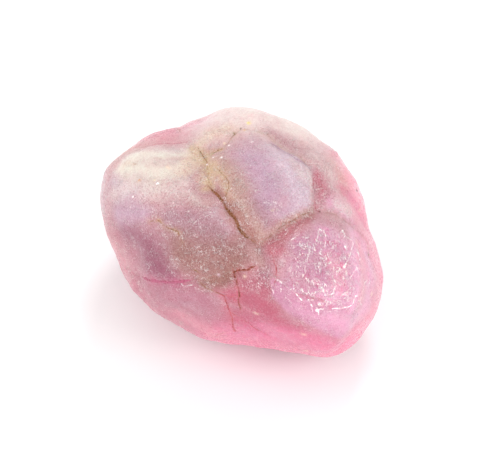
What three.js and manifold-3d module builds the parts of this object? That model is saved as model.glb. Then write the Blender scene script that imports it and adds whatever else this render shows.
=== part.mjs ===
// A tourmaline nodule: one rounded, lobed crystal mass with healed cracks between its lobes.
// Millimetres, +Z up. It rests on a small flat at z = 0, and its longest side runs along X.
import * as THREE from "three";
import { mergeVertices } from "three/addons/utils/BufferGeometryUtils.js";
import Module from "manifold-3d";

// ---- Driving dimensions
const HALF_LENGTH = 17.3; // the swollen body's half axes, before lobes and grooves
const HALF_WIDTH = 13.3;
const HALF_HEIGHT = 11.9;
const HEART_HEIGHT = 10.7; // the body's middle above the resting flat
const FULLNESS = 2.25; // 2 is an ellipsoid, more is boxier
const RELIEF = 1; // scales every groove's depth
const FACES_PER_EDGE = 26; // facets along each side of the six patches

// ---- Lobes: [x, y, z, height, spread], swellings (or hollows, where negative) placed from the middle
const LOBES = [
  [-6.986, -7.729, 9.306, 0.9, 4.4],
  [-0.761, -10.739, 7.75, 0.6, 3.6],
  [3.151, -0.243, 11.784, 0.9, 4.4],
  [6.613, 0.036, 11.272, 0.6, 2.8],
  [13.122, -3.767, 7.96, 1.3, 4.4],
  [-4.457, 6.235, 10.6, 0.5, 3.6],
  [9.895, 4.477, 9.685, 0.35, 2.8],
  [-0.339, -13.294, 0.506, 0.7, 3.2],
  [8.023, -12.008, 2.426, -0.35, 2.6],
  [15.76, -6.043, 2.079, 1.1, 4.4],
  [-3.701, -2.246, 11.635, -0.25, 2.4],
  [-2.34, 7.384, 10.302, 0.25, 2.6],
  [2.051, -5.077, -11.227, 0.9, 4.2],
  [-14.079, 8.129, 2.867, 0.8, 4.5],
  [-2.124, 12.044, 5.703, 0.6, 4],
  [6.451, 11.174, -6.017, 0.7, 4],
  [14.619, 5.321, -5.662, 0.5, 4],
  [-14.586, -2.572, -6.907, 0.6, 4],
  [-5.698, 9.869, -7.979, -0.5, 3.5],
  [2.334, 13.235, 0, -0.5, 3],
  [-5.246, -9.086, -8.803, 0.3, 4],
  [9.497, -3.457, -10.106, 0.3, 3],
];

// ---- Girdle: the uneven outline around a tilted axis, as cosine and sine shares of the radius.
// The higher terms fade out sooner away from the girdle.
const GIRDLE_RIGHT = [0.809017, 0.587785, 0];
const GIRDLE_UP = [-0.447621, 0.616097, 0.64812];
const GIRDLE_AXIS = [0.380955, -0.52434, 0.761538];
const GIRDLE = [
  [-0.08203, 0],
  [-0.00526, 0.00513],
  [0.00472, -0.00123],
  [-0.03659, -0.01468],
  [-0.02671, -0.01834],
  [-0.00641, 0.01619],
  [-0.00997, 0.00427],
  [0.00961, -0.00699],
  [0.00329, -0.00594],
  [-0.00302, 0.00388],
  [-0.00213, -0.00125],
  [-0.00223, 0.00431],
  [-0.00123, 0.00306],
  [0.00111, 0.00148],
  [-0.00012, -0.00115],
  [-0.00032, -0.00015],
  [0.00109, -0.00042],
  [-0.00128, -0.00123],
  [0.00096, 0.00002],
  [0.00119, -0.00049],
  [0.00008, 0.00154],
  [0.00066, 0.00029],
  [-0.00108, -0.0004],
  [-0.00028, -0.00014],
  [-0.0004, -0.00119],
];

// ---- Grooves between the lobes: runs of [x, y, z, depth, width], placed from the middle
const GROOVES = [
  [ // the deep stained cleft
    [-4.52, -1.07, 10.13, 0.35, 1], [-3.39, -2.67, 10.56, 0.5, 1.1], [-1.86, -4.22, 11.07, 0.65, 1.1], [-0.66, -4.83, 11.3, 0.8, 1.1], [1.28, -5.67, 11.44, 0.9, 1.1], [2.92, -6.48, 11.21, 0.95, 1.1], [4.51, -7.21, 10.72, 0.9, 1.15], [5.59, -7.45, 10.39, 0.8, 1.2], [6.69, -7.52, 10.08, 0.75, 1.25], [7.63, -7.55, 9.78, 0.8, 1.3],
  ],
  [ // its upper end
    [-7.75, 0.89, 9.16, 0.1, 0.6], [-6.04, -0.12, 9.73, 0.22, 0.7], [-4.52, -1.07, 10.13, 0.35, 0.9],
  ],
  [ // around the top of the middle hump
    [-4.46, -1.15, 10.15, 0.35, 0.9], [-4.59, 0.05, 10.14, 0.3, 0.8], [-4.52, 0.75, 10.27, 0.3, 0.8], [-3.96, 1.27, 10.66, 0.28, 0.8], [-3.83, 2.38, 11.03, 0.25, 0.8], [-3.94, 3.44, 11.15, 0.25, 0.8], [-3.81, 4.37, 11.2, 0.22, 0.8], [-3.16, 4.59, 11.33, 0.2, 0.9], [-2.02, 5.04, 11.34, 0.2, 1], [-0.72, 5.46, 11.26, 0.22, 1], [1.52, 5.32, 11.01, 0.3, 1], [4.13, 4.62, 11.33, 0.4, 1], [6.29, 3.8, 11.39, 0.5, 1.1], [7.53, 2.71, 11.28, 0.6, 1.2], [8.59, 1.37, 10.97, 0.6, 1.2], [9.17, 0.77, 10.62, 0.5, 1.1], [9.7, 0.48, 10.22, 0.45, 1],
  ],
  [ // between the middle hump and the right lobe
    [9.7, 0.48, 10.22, 0.45, 1], [9.38, -1.67, 10.84, 0.7, 1.2], [8.81, -3.78, 11.01, 0.85, 1.3], [8.32, -5.63, 10.65, 0.95, 1.3], [7.88, -7, 10.07, 0.85, 1.3], [7.63, -7.55, 9.78, 0.8, 1.3],
  ],
  [ // over the right lobe
    [9.7, 0.48, 10.22, 0.45, 1], [10.33, 1.47, 9.29, 0.35, 0.9], [11.22, 2.48, 7.96, 0.32, 0.9], [12.29, 3.09, 6.29, 0.3, 0.9], [13.29, 3.22, 4.86, 0.26, 0.9], [14.45, 3.15, 3.06, 0.2, 0.9], [15.56, 2.64, 1.64, 0.1, 0.9],
  ],
  [ // down the right flank
    [7.91, 2.44, 11.14, 0.3, 1], [8.32, 3.74, 10.21, 0.22, 1.1], [8.87, 5.45, 8.67, 0.2, 1.1], [10.14, 5.77, 7.1, 0.22, 1.2], [11.53, 5.46, 5.52, 0.22, 1.2], [12.71, 5.13, 3.81, 0.18, 1.2], [13.5, 5.15, 2.15, 0.12, 1.2],
  ],
  [ // the thin crack below the junction
    [7.63, -7.55, 9.78, 0.5, 1], [7.76, -8.6, 8.82, 0.35, 0.8], [7.55, -9.06, 8.39, 0.3, 0.7], [6.8, -9.66, 7.91, 0.3, 0.7], [6.02, -10.2, 7.35, 0.35, 0.8], [6.12, -10.45, 6.74, 0.35, 0.7], [6.79, -10.55, 5.81, 0.2, 0.5], [6.99, -10.72, 4.11, 0.15, 0.5], [7.17, -10.68, 2.84, 0.08, 0.4],
  ],
  [ // under the left hump
    [-9.54, -10.12, -2.26, 0.35, 0.9], [-6.81, -11.74, -0.88, 0.5, 1], [-4.42, -12.66, 0.64, 0.6, 1], [-1.69, -12.98, 2.43, 0.6, 1], [0.53, -12.68, 4, 0.5, 1], [2.25, -12.1, 5.1, 0.35, 0.9], [3.45, -11.56, 5.92, 0.3, 0.9], [4.78, -10.84, 6.77, 0.3, 0.9], [5.98, -10.24, 7.3, 0.3, 0.8],
  ],
  [ // down from the crease
    [2.27, -12.12, 5.02, 0.3, 0.7], [3.7, -11.84, 4.7, 0.28, 0.7], [5.39, -11.35, 4.08, 0.3, 0.7], [5.69, -11.32, 2.92, 0.3, 0.7], [6, -11.19, 0.97, 0.25, 0.7], [6.35, -10.75, -1.8, 0.12, 0.6],
  ],
  [ // its branch
    [5.76, -11.33, 1.79, 0.1, 0.5], [6.82, -10.78, 1.15, 0.14, 0.5], [7.59, -10.39, 0.3, 0.14, 0.5], [9.21, -9.69, -0.87, 0.12, 0.5], [10.48, -9.24, -1.22, 0.06, 0.5],
  ],
  [ // beside the right lobe
    [7.63, -7.55, 9.78, 0.4, 0.9], [8.91, -7.35, 9.47, 0.35, 0.8], [9.46, -7.56, 9.1, 0.3, 0.7], [9.95, -7.99, 8.54, 0.25, 0.7], [10.44, -8.44, 7.84, 0.2, 0.6], [10.18, -9.27, 6.65, 0.25, 0.8], [11.05, -9.56, 5.05, 0.3, 0.9], [12.34, -9.35, 4.36, 0.3, 1], [14.27, -8.76, 3.73, 0.25, 1.1], [16.18, -7.75, 2.31, 0.15, 1.2], [17.03, -6.68, 0.58, 0.08, 1.2],
  ],
  [ // behind the left hump
    [-12.52, -2.71, 7.82, 0.2, 0.9], [-12.33, -0.87, 7.76, 0.3, 1], [-10.92, 0.19, 8.21, 0.35, 1], [-9.84, 1.3, 8.31, 0.3, 1], [-8.56, 1.98, 8.73, 0.25, 0.9], [-7.21, 1.27, 9.34, 0.15, 0.8],
  ],
  [ // back, left
    [-10.04, 2.13, 8.02, 0.2, 1], [-12.25, 4.46, 5.8, 0.35, 1.1], [-13.69, 6.1, 2.11, 0.45, 1.2], [-12.44, 7.78, -2.59, 0.5, 1.2], [-9.75, 8.18, -6.77, 0.45, 1.2], [-6.34, 6.8, -9.63, 0.3, 1.2],
  ],
  [ // back, middle
    [-1.21, 8.64, 9.68, 0.15, 1], [-3.48, 10.71, 7.59, 0.35, 1.1], [-4.95, 12.24, 3.79, 0.5, 1.2], [-3.14, 12.6, 0, 0.55, 1.2], [-1.28, 12.14, -3.97, 0.5, 1.2], [-1.55, 9.81, -7.76, 0.35, 1.2],
  ],
  [ // back, right
    [10.67, 8.34, 1.42, 0.2, 1], [7.97, 10.21, -0.91, 0.4, 1.1], [4.16, 11.44, -1.71, 0.5, 1.2], [0.44, 12.6, -1.32, 0.5, 1.2], [-3.14, 12.6, 0, 0.5, 1.2],
  ],
  [ // back, high
    [-4.95, 12.24, 3.79, 0.45, 1.1], [-7.91, 10.89, 4.9, 0.4, 1], [-10.78, 8.43, 4.45, 0.4, 1], [-13.48, 5.45, 3.63, 0.4, 1.1],
  ],
  [ // back, low left
    [-13.91, -5.06, -5.39, 0.3, 1], [-14.33, -1, -7, 0.4, 1.1], [-13.18, 2.8, -7.78, 0.4, 1.1], [-11.77, 6.26, -7.09, 0.4, 1.1], [-9.75, 8.18, -6.77, 0.4, 1.1],
  ],
  [ // back, low right
    [7.97, 10.21, -0.91, 0.35, 1], [9.08, 8.77, -5.1, 0.35, 1], [9.27, 6.25, -8.73, 0.3, 1], [7.86, 3.18, -10.85, 0.2, 1],
  ],
];

// ---- Low undulations of the skin: [kx, ky, kz, phase, amplitude]
const WAVES = [
  [0.62, 0.35, -0.41, 0.3, 0.1],
  [-0.44, 0.71, 0.33, 1.9, 0.1],
  [0.28, -0.52, 0.74, 4.1, 0.09],
  [0.91, 0.48, 0.22, 2.6, 0.07],
  [-0.66, -0.83, 0.39, 5.3, 0.07],
  [0.37, 0.95, -0.78, 0.9, 0.06],
  [1.35, -0.62, 0.51, 3.7, 0.045],
  [-0.81, 1.22, 0.94, 1.2, 0.045],
  [0.55, 0.88, 1.47, 5.9, 0.04],
  [1.71, 0.93, -0.84, 2.2, 0.03],
  [-1.15, 1.64, -0.71, 4.6, 0.03],
];

const dot = (a, b) => a[0] * b[0] + a[1] * b[1] + a[2] * b[2];

function bodyRadius(u) {
  const s =
    Math.abs(u[0] / HALF_LENGTH) ** FULLNESS +
    Math.abs(u[1] / HALF_WIDTH) ** FULLNESS +
    Math.abs(u[2] / HALF_HEIGHT) ** FULLNESS;
  return s ** (-1 / FULLNESS);
}

function lobeRise(p) {
  let rise = 0;
  for (const [x, y, z, h, s] of LOBES) {
    const d2 = (p[0] - x) ** 2 + (p[1] - y) ** 2 + (p[2] - z) ** 2;
    rise += h * Math.exp(-d2 / (2 * s * s));
  }
  return rise;
}

function girdleShare(u) {
  const angle = Math.atan2(dot(u, GIRDLE_UP), dot(u, GIRDLE_RIGHT));
  const lean = dot(u, GIRDLE_AXIS);
  const away = Math.sqrt(Math.max(1 - lean * lean, 0));
  let share = 0;
  GIRDLE.forEach(([a, b], n) => {
    const start = Math.min(0.62, 0.06 * n);
    const t = Math.min(Math.max((away - start) / (0.93 - start), 0), 1);
    share += (a * Math.cos(n * angle) + b * Math.sin(n * angle)) * t * t * (3 - 2 * t);
  });
  return share;
}

function grooveDepth(p) {
  let sum = 0;
  for (const run of GROOVES) {
    let best = 1e9, depth = 0, width = 1;
    for (let i = 0; i + 1 < run.length; i++) {
      const a = run[i], b = run[i + 1];
      const ab = [b[0] - a[0], b[1] - a[1], b[2] - a[2]];
      const ap = [p[0] - a[0], p[1] - a[1], p[2] - a[2]];
      const t = Math.min(Math.max(dot(ap, ab) / dot(ab, ab), 0), 1);
      const d = Math.hypot(ap[0] - t * ab[0], ap[1] - t * ab[1], ap[2] - t * ab[2]);
      if (d < best) {
        best = d;
        depth = a[3] + (b[3] - a[3]) * t;
        width = a[4] + (b[4] - a[4]) * t;
      }
    }
    const valley = 0.45 * Math.exp(-((best / (width * 2.1)) ** 2));
    const cleft = 0.55 * Math.exp(-((best / (width * 0.62)) ** 1.4));
    sum += (depth * (valley + cleft)) ** 4;
  }
  return RELIEF * sum ** 0.25;
}

function ripple(p) {
  let s = 0;
  for (const [kx, ky, kz, phase, a] of WAVES) s += a * Math.cos(p[0] * kx + p[1] * ky + p[2] * kz + phase);
  return s;
}

function skinRadius(u) {
  const r0 = bodyRadius(u);
  const r1 = (r0 + lobeRise(u.map((c) => c * r0))) * (1 + girdleShare(u));
  const p = u.map((c) => c * r1);
  return r1 - grooveDepth(p) + ripple(p);
}

// ---- The closed skin: a box's six gridded sides blown up into a ball, then out to the skin
const skin = new THREE.BoxGeometry(2, 2, 2, FACES_PER_EDGE, FACES_PER_EDGE, FACES_PER_EDGE);
const place = skin.getAttribute("position");
for (let i = 0; i < place.count; i++) {
  const g = [place.getX(i), place.getY(i), place.getZ(i)].map((c) => Math.tan((c * Math.PI) / 4));
  const l = Math.hypot(...g);
  const u = g.map((c) => c / l);
  const r = skinRadius(u);
  place.setXYZ(i, u[0] * r, u[1] * r, u[2] * r + HEART_HEIGHT);
}
skin.deleteAttribute("normal");
skin.deleteAttribute("uv");
const closed = mergeVertices(skin, 1e-4);

// ---- The resting flat: everything under z = 0 is ground away
const wasm = await Module();
wasm.setup();
const solid = (geometry) =>
  new wasm.Manifold(
    new wasm.Mesh({
      numProp: 3,
      vertProperties: new Float32Array(geometry.getAttribute("position").array),
      triVerts: new Uint32Array(geometry.index.array),
    }),
  );
const slab = new THREE.BoxGeometry(60, 60, 10).translate(0, 0, -5);
slab.deleteAttribute("normal");
slab.deleteAttribute("uv");
const cut = solid(closed).subtract(solid(mergeVertices(slab))).getMesh();

const nodule = new THREE.BufferGeometry();
nodule.setAttribute("position", new THREE.BufferAttribute(new Float32Array(cut.vertProperties), 3));
nodule.setIndex(new THREE.BufferAttribute(new Uint32Array(cut.triVerts), 1));
nodule.computeBoundingBox();
const mid = nodule.boundingBox.getCenter(new THREE.Vector3());
nodule.translate(-mid.x, -mid.y, 0); // the origin is under the middle of the nodule, on its resting flat
nodule.computeVertexNormals();

const tourmaline = new THREE.Mesh(
  nodule,
  new THREE.MeshStandardMaterial({ color: 0xdd9fc0, roughness: 0.42, metalness: 0 }),
);
tourmaline.name = "tourmaline_nodule";

const specimen = new THREE.Group();
specimen.name = "tourmaline_specimen";
specimen.add(tourmaline);

export default specimen;
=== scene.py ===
# A tourmaline nodule on a plain pale floor. Metres, +Z up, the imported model's frame.
import math
import bpy
import numpy as np
from mathutils import Vector, Matrix


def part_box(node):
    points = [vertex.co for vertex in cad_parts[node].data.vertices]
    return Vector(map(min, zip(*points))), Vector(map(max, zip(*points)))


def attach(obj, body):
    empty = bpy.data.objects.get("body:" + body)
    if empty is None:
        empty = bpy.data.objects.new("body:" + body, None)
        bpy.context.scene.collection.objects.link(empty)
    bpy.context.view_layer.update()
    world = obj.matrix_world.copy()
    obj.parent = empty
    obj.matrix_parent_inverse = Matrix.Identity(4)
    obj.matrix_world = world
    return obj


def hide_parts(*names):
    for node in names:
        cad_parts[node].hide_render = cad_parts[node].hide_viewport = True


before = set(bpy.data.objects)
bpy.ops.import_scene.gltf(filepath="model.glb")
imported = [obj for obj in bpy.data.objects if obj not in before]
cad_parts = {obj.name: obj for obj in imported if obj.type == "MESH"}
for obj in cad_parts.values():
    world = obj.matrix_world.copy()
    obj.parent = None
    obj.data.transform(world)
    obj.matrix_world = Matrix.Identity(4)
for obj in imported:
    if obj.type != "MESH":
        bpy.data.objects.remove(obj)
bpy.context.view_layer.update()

MM = 0.001

# ------------------------------------------------------------------ the stone's form (mm, from its middle)
HEART = np.array([-0.254, 0.265, 10.7])        # the middle, in the row frame
HALF = np.array([17.3, 13.3, 11.9])          # half axes
FULLNESS = 2.25
LOBES = [
    [-6.986, -7.729, 9.306, 0.9, 4.4],
    [-0.761, -10.739, 7.75, 0.6, 3.6],
    [3.151, -0.243, 11.784, 0.9, 4.4],
    [6.613, 0.036, 11.272, 0.6, 2.8],
    [13.122, -3.767, 7.96, 1.3, 4.4],
    [-4.457, 6.235, 10.6, 0.5, 3.6],
    [9.895, 4.477, 9.685, 0.35, 2.8],
    [-0.339, -13.294, 0.506, 0.7, 3.2],
    [8.023, -12.008, 2.426, -0.35, 2.6],
    [15.76, -6.043, 2.079, 1.1, 4.4],
    [-3.701, -2.246, 11.635, -0.25, 2.4],
    [-2.34, 7.384, 10.302, 0.25, 2.6],
    [2.051, -5.077, -11.227, 0.9, 4.2],
    [-14.079, 8.129, 2.867, 0.8, 4.5],
    [-2.124, 12.044, 5.703, 0.6, 4],
    [6.451, 11.174, -6.017, 0.7, 4],
    [14.619, 5.321, -5.662, 0.5, 4],
    [-14.586, -2.572, -6.907, 0.6, 4],
    [-5.698, 9.869, -7.979, -0.5, 3.5],
    [2.334, 13.235, 0, -0.5, 3],
    [-5.246, -9.086, -8.803, 0.3, 4],
    [9.497, -3.457, -10.106, 0.3, 3],
]
GIRDLE_RIGHT = np.array([0.809017, 0.587785, 0])
GIRDLE_UP = np.array([-0.447621, 0.616097, 0.64812])
GIRDLE_AXIS = np.array([0.380955, -0.52434, 0.761538])
GIRDLE = [
    [-0.08203, 0],
    [-0.00526, 0.00513],
    [0.00472, -0.00123],
    [-0.03659, -0.01468],
    [-0.02671, -0.01834],
    [-0.00641, 0.01619],
    [-0.00997, 0.00427],
    [0.00961, -0.00699],
    [0.00329, -0.00594],
    [-0.00302, 0.00388],
    [-0.00213, -0.00125],
    [-0.00223, 0.00431],
    [-0.00123, 0.00306],
    [0.00111, 0.00148],
    [-0.00012, -0.00115],
    [-0.00032, -0.00015],
    [0.00109, -0.00042],
    [-0.00128, -0.00123],
    [0.00096, 0.00002],
    [0.00119, -0.00049],
    [0.00008, 0.00154],
    [0.00066, 0.00029],
    [-0.00108, -0.0004],
    [-0.00028, -0.00014],
    [-0.0004, -0.00119],
]
GROOVES = [
    [[-4.52, -1.07, 10.13, 0.35, 1], [-3.39, -2.67, 10.56, 0.5, 1.1], [-1.86, -4.22, 11.07, 0.65, 1.1], [-0.66, -4.83, 11.3, 0.8, 1.1], [1.28, -5.67, 11.44, 0.9, 1.1], [2.92, -6.48, 11.21, 0.95, 1.1], [4.51, -7.21, 10.72, 0.9, 1.15], [5.59, -7.45, 10.39, 0.8, 1.2], [6.69, -7.52, 10.08, 0.75, 1.25], [7.63, -7.55, 9.78, 0.8, 1.3]],
    [[-7.75, 0.89, 9.16, 0.1, 0.6], [-6.04, -0.12, 9.73, 0.22, 0.7], [-4.52, -1.07, 10.13, 0.35, 0.9]],
    [[-4.46, -1.15, 10.15, 0.35, 0.9], [-4.59, 0.05, 10.14, 0.3, 0.8], [-4.52, 0.75, 10.27, 0.3, 0.8], [-3.96, 1.27, 10.66, 0.28, 0.8], [-3.83, 2.38, 11.03, 0.25, 0.8], [-3.94, 3.44, 11.15, 0.25, 0.8], [-3.81, 4.37, 11.2, 0.22, 0.8], [-3.16, 4.59, 11.33, 0.2, 0.9], [-2.02, 5.04, 11.34, 0.2, 1], [-0.72, 5.46, 11.26, 0.22, 1], [1.52, 5.32, 11.01, 0.3, 1], [4.13, 4.62, 11.33, 0.4, 1], [6.29, 3.8, 11.39, 0.5, 1.1], [7.53, 2.71, 11.28, 0.6, 1.2], [8.59, 1.37, 10.97, 0.6, 1.2], [9.17, 0.77, 10.62, 0.5, 1.1], [9.7, 0.48, 10.22, 0.45, 1]],
    [[9.7, 0.48, 10.22, 0.45, 1], [9.38, -1.67, 10.84, 0.7, 1.2], [8.81, -3.78, 11.01, 0.85, 1.3], [8.32, -5.63, 10.65, 0.95, 1.3], [7.88, -7, 10.07, 0.85, 1.3], [7.63, -7.55, 9.78, 0.8, 1.3]],
    [[9.7, 0.48, 10.22, 0.45, 1], [10.33, 1.47, 9.29, 0.35, 0.9], [11.22, 2.48, 7.96, 0.32, 0.9], [12.29, 3.09, 6.29, 0.3, 0.9], [13.29, 3.22, 4.86, 0.26, 0.9], [14.45, 3.15, 3.06, 0.2, 0.9], [15.56, 2.64, 1.64, 0.1, 0.9]],
    [[7.91, 2.44, 11.14, 0.3, 1], [8.32, 3.74, 10.21, 0.22, 1.1], [8.87, 5.45, 8.67, 0.2, 1.1], [10.14, 5.77, 7.1, 0.22, 1.2], [11.53, 5.46, 5.52, 0.22, 1.2], [12.71, 5.13, 3.81, 0.18, 1.2], [13.5, 5.15, 2.15, 0.12, 1.2]],
    [[7.63, -7.55, 9.78, 0.5, 1], [7.76, -8.6, 8.82, 0.35, 0.8], [7.55, -9.06, 8.39, 0.3, 0.7], [6.8, -9.66, 7.91, 0.3, 0.7], [6.02, -10.2, 7.35, 0.35, 0.8], [6.12, -10.45, 6.74, 0.35, 0.7], [6.79, -10.55, 5.81, 0.2, 0.5], [6.99, -10.72, 4.11, 0.15, 0.5], [7.17, -10.68, 2.84, 0.08, 0.4]],
    [[-9.54, -10.12, -2.26, 0.35, 0.9], [-6.81, -11.74, -0.88, 0.5, 1], [-4.42, -12.66, 0.64, 0.6, 1], [-1.69, -12.98, 2.43, 0.6, 1], [0.53, -12.68, 4, 0.5, 1], [2.25, -12.1, 5.1, 0.35, 0.9], [3.45, -11.56, 5.92, 0.3, 0.9], [4.78, -10.84, 6.77, 0.3, 0.9], [5.98, -10.24, 7.3, 0.3, 0.8]],
    [[2.27, -12.12, 5.02, 0.3, 0.7], [3.7, -11.84, 4.7, 0.28, 0.7], [5.39, -11.35, 4.08, 0.3, 0.7], [5.69, -11.32, 2.92, 0.3, 0.7], [6, -11.19, 0.97, 0.25, 0.7], [6.35, -10.75, -1.8, 0.12, 0.6]],
    [[5.76, -11.33, 1.79, 0.1, 0.5], [6.82, -10.78, 1.15, 0.14, 0.5], [7.59, -10.39, 0.3, 0.14, 0.5], [9.21, -9.69, -0.87, 0.12, 0.5], [10.48, -9.24, -1.22, 0.06, 0.5]],
    [[7.63, -7.55, 9.78, 0.4, 0.9], [8.91, -7.35, 9.47, 0.35, 0.8], [9.46, -7.56, 9.1, 0.3, 0.7], [9.95, -7.99, 8.54, 0.25, 0.7], [10.44, -8.44, 7.84, 0.2, 0.6], [10.18, -9.27, 6.65, 0.25, 0.8], [11.05, -9.56, 5.05, 0.3, 0.9], [12.34, -9.35, 4.36, 0.3, 1], [14.27, -8.76, 3.73, 0.25, 1.1], [16.18, -7.75, 2.31, 0.15, 1.2], [17.03, -6.68, 0.58, 0.08, 1.2]],
    [[-12.52, -2.71, 7.82, 0.2, 0.9], [-12.33, -0.87, 7.76, 0.3, 1], [-10.92, 0.19, 8.21, 0.35, 1], [-9.84, 1.3, 8.31, 0.3, 1], [-8.56, 1.98, 8.73, 0.25, 0.9], [-7.21, 1.27, 9.34, 0.15, 0.8]],
    [[-10.04, 2.13, 8.02, 0.2, 1], [-12.25, 4.46, 5.8, 0.35, 1.1], [-13.69, 6.1, 2.11, 0.45, 1.2], [-12.44, 7.78, -2.59, 0.5, 1.2], [-9.75, 8.18, -6.77, 0.45, 1.2], [-6.34, 6.8, -9.63, 0.3, 1.2]],
    [[-1.21, 8.64, 9.68, 0.15, 1], [-3.48, 10.71, 7.59, 0.35, 1.1], [-4.95, 12.24, 3.79, 0.5, 1.2], [-3.14, 12.6, 0, 0.55, 1.2], [-1.28, 12.14, -3.97, 0.5, 1.2], [-1.55, 9.81, -7.76, 0.35, 1.2]],
    [[10.67, 8.34, 1.42, 0.2, 1], [7.97, 10.21, -0.91, 0.4, 1.1], [4.16, 11.44, -1.71, 0.5, 1.2], [0.44, 12.6, -1.32, 0.5, 1.2], [-3.14, 12.6, 0, 0.5, 1.2]],
    [[-4.95, 12.24, 3.79, 0.45, 1.1], [-7.91, 10.89, 4.9, 0.4, 1], [-10.78, 8.43, 4.45, 0.4, 1], [-13.48, 5.45, 3.63, 0.4, 1.1]],
    [[-13.91, -5.06, -5.39, 0.3, 1], [-14.33, -1, -7, 0.4, 1.1], [-13.18, 2.8, -7.78, 0.4, 1.1], [-11.77, 6.26, -7.09, 0.4, 1.1], [-9.75, 8.18, -6.77, 0.4, 1.1]],
    [[7.97, 10.21, -0.91, 0.35, 1], [9.08, 8.77, -5.1, 0.35, 1], [9.27, 6.25, -8.73, 0.3, 1], [7.86, 3.18, -10.85, 0.2, 1]],
]
WAVES = [
    [0.62, 0.35, -0.41, 0.3, 0.1],
    [-0.44, 0.71, 0.33, 1.9, 0.1],
    [0.28, -0.52, 0.74, 4.1, 0.09],
    [0.91, 0.48, 0.22, 2.6, 0.07],
    [-0.66, -0.83, 0.39, 5.3, 0.07],
    [0.37, 0.95, -0.78, 0.9, 0.06],
    [1.35, -0.62, 0.51, 3.7, 0.045],
    [-0.81, 1.22, 0.94, 1.2, 0.045],
    [0.55, 0.88, 1.47, 5.9, 0.04],
    [1.71, 0.93, -0.84, 2.2, 0.03],
    [-1.15, 1.64, -0.71, 4.6, 0.03],
]

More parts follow.
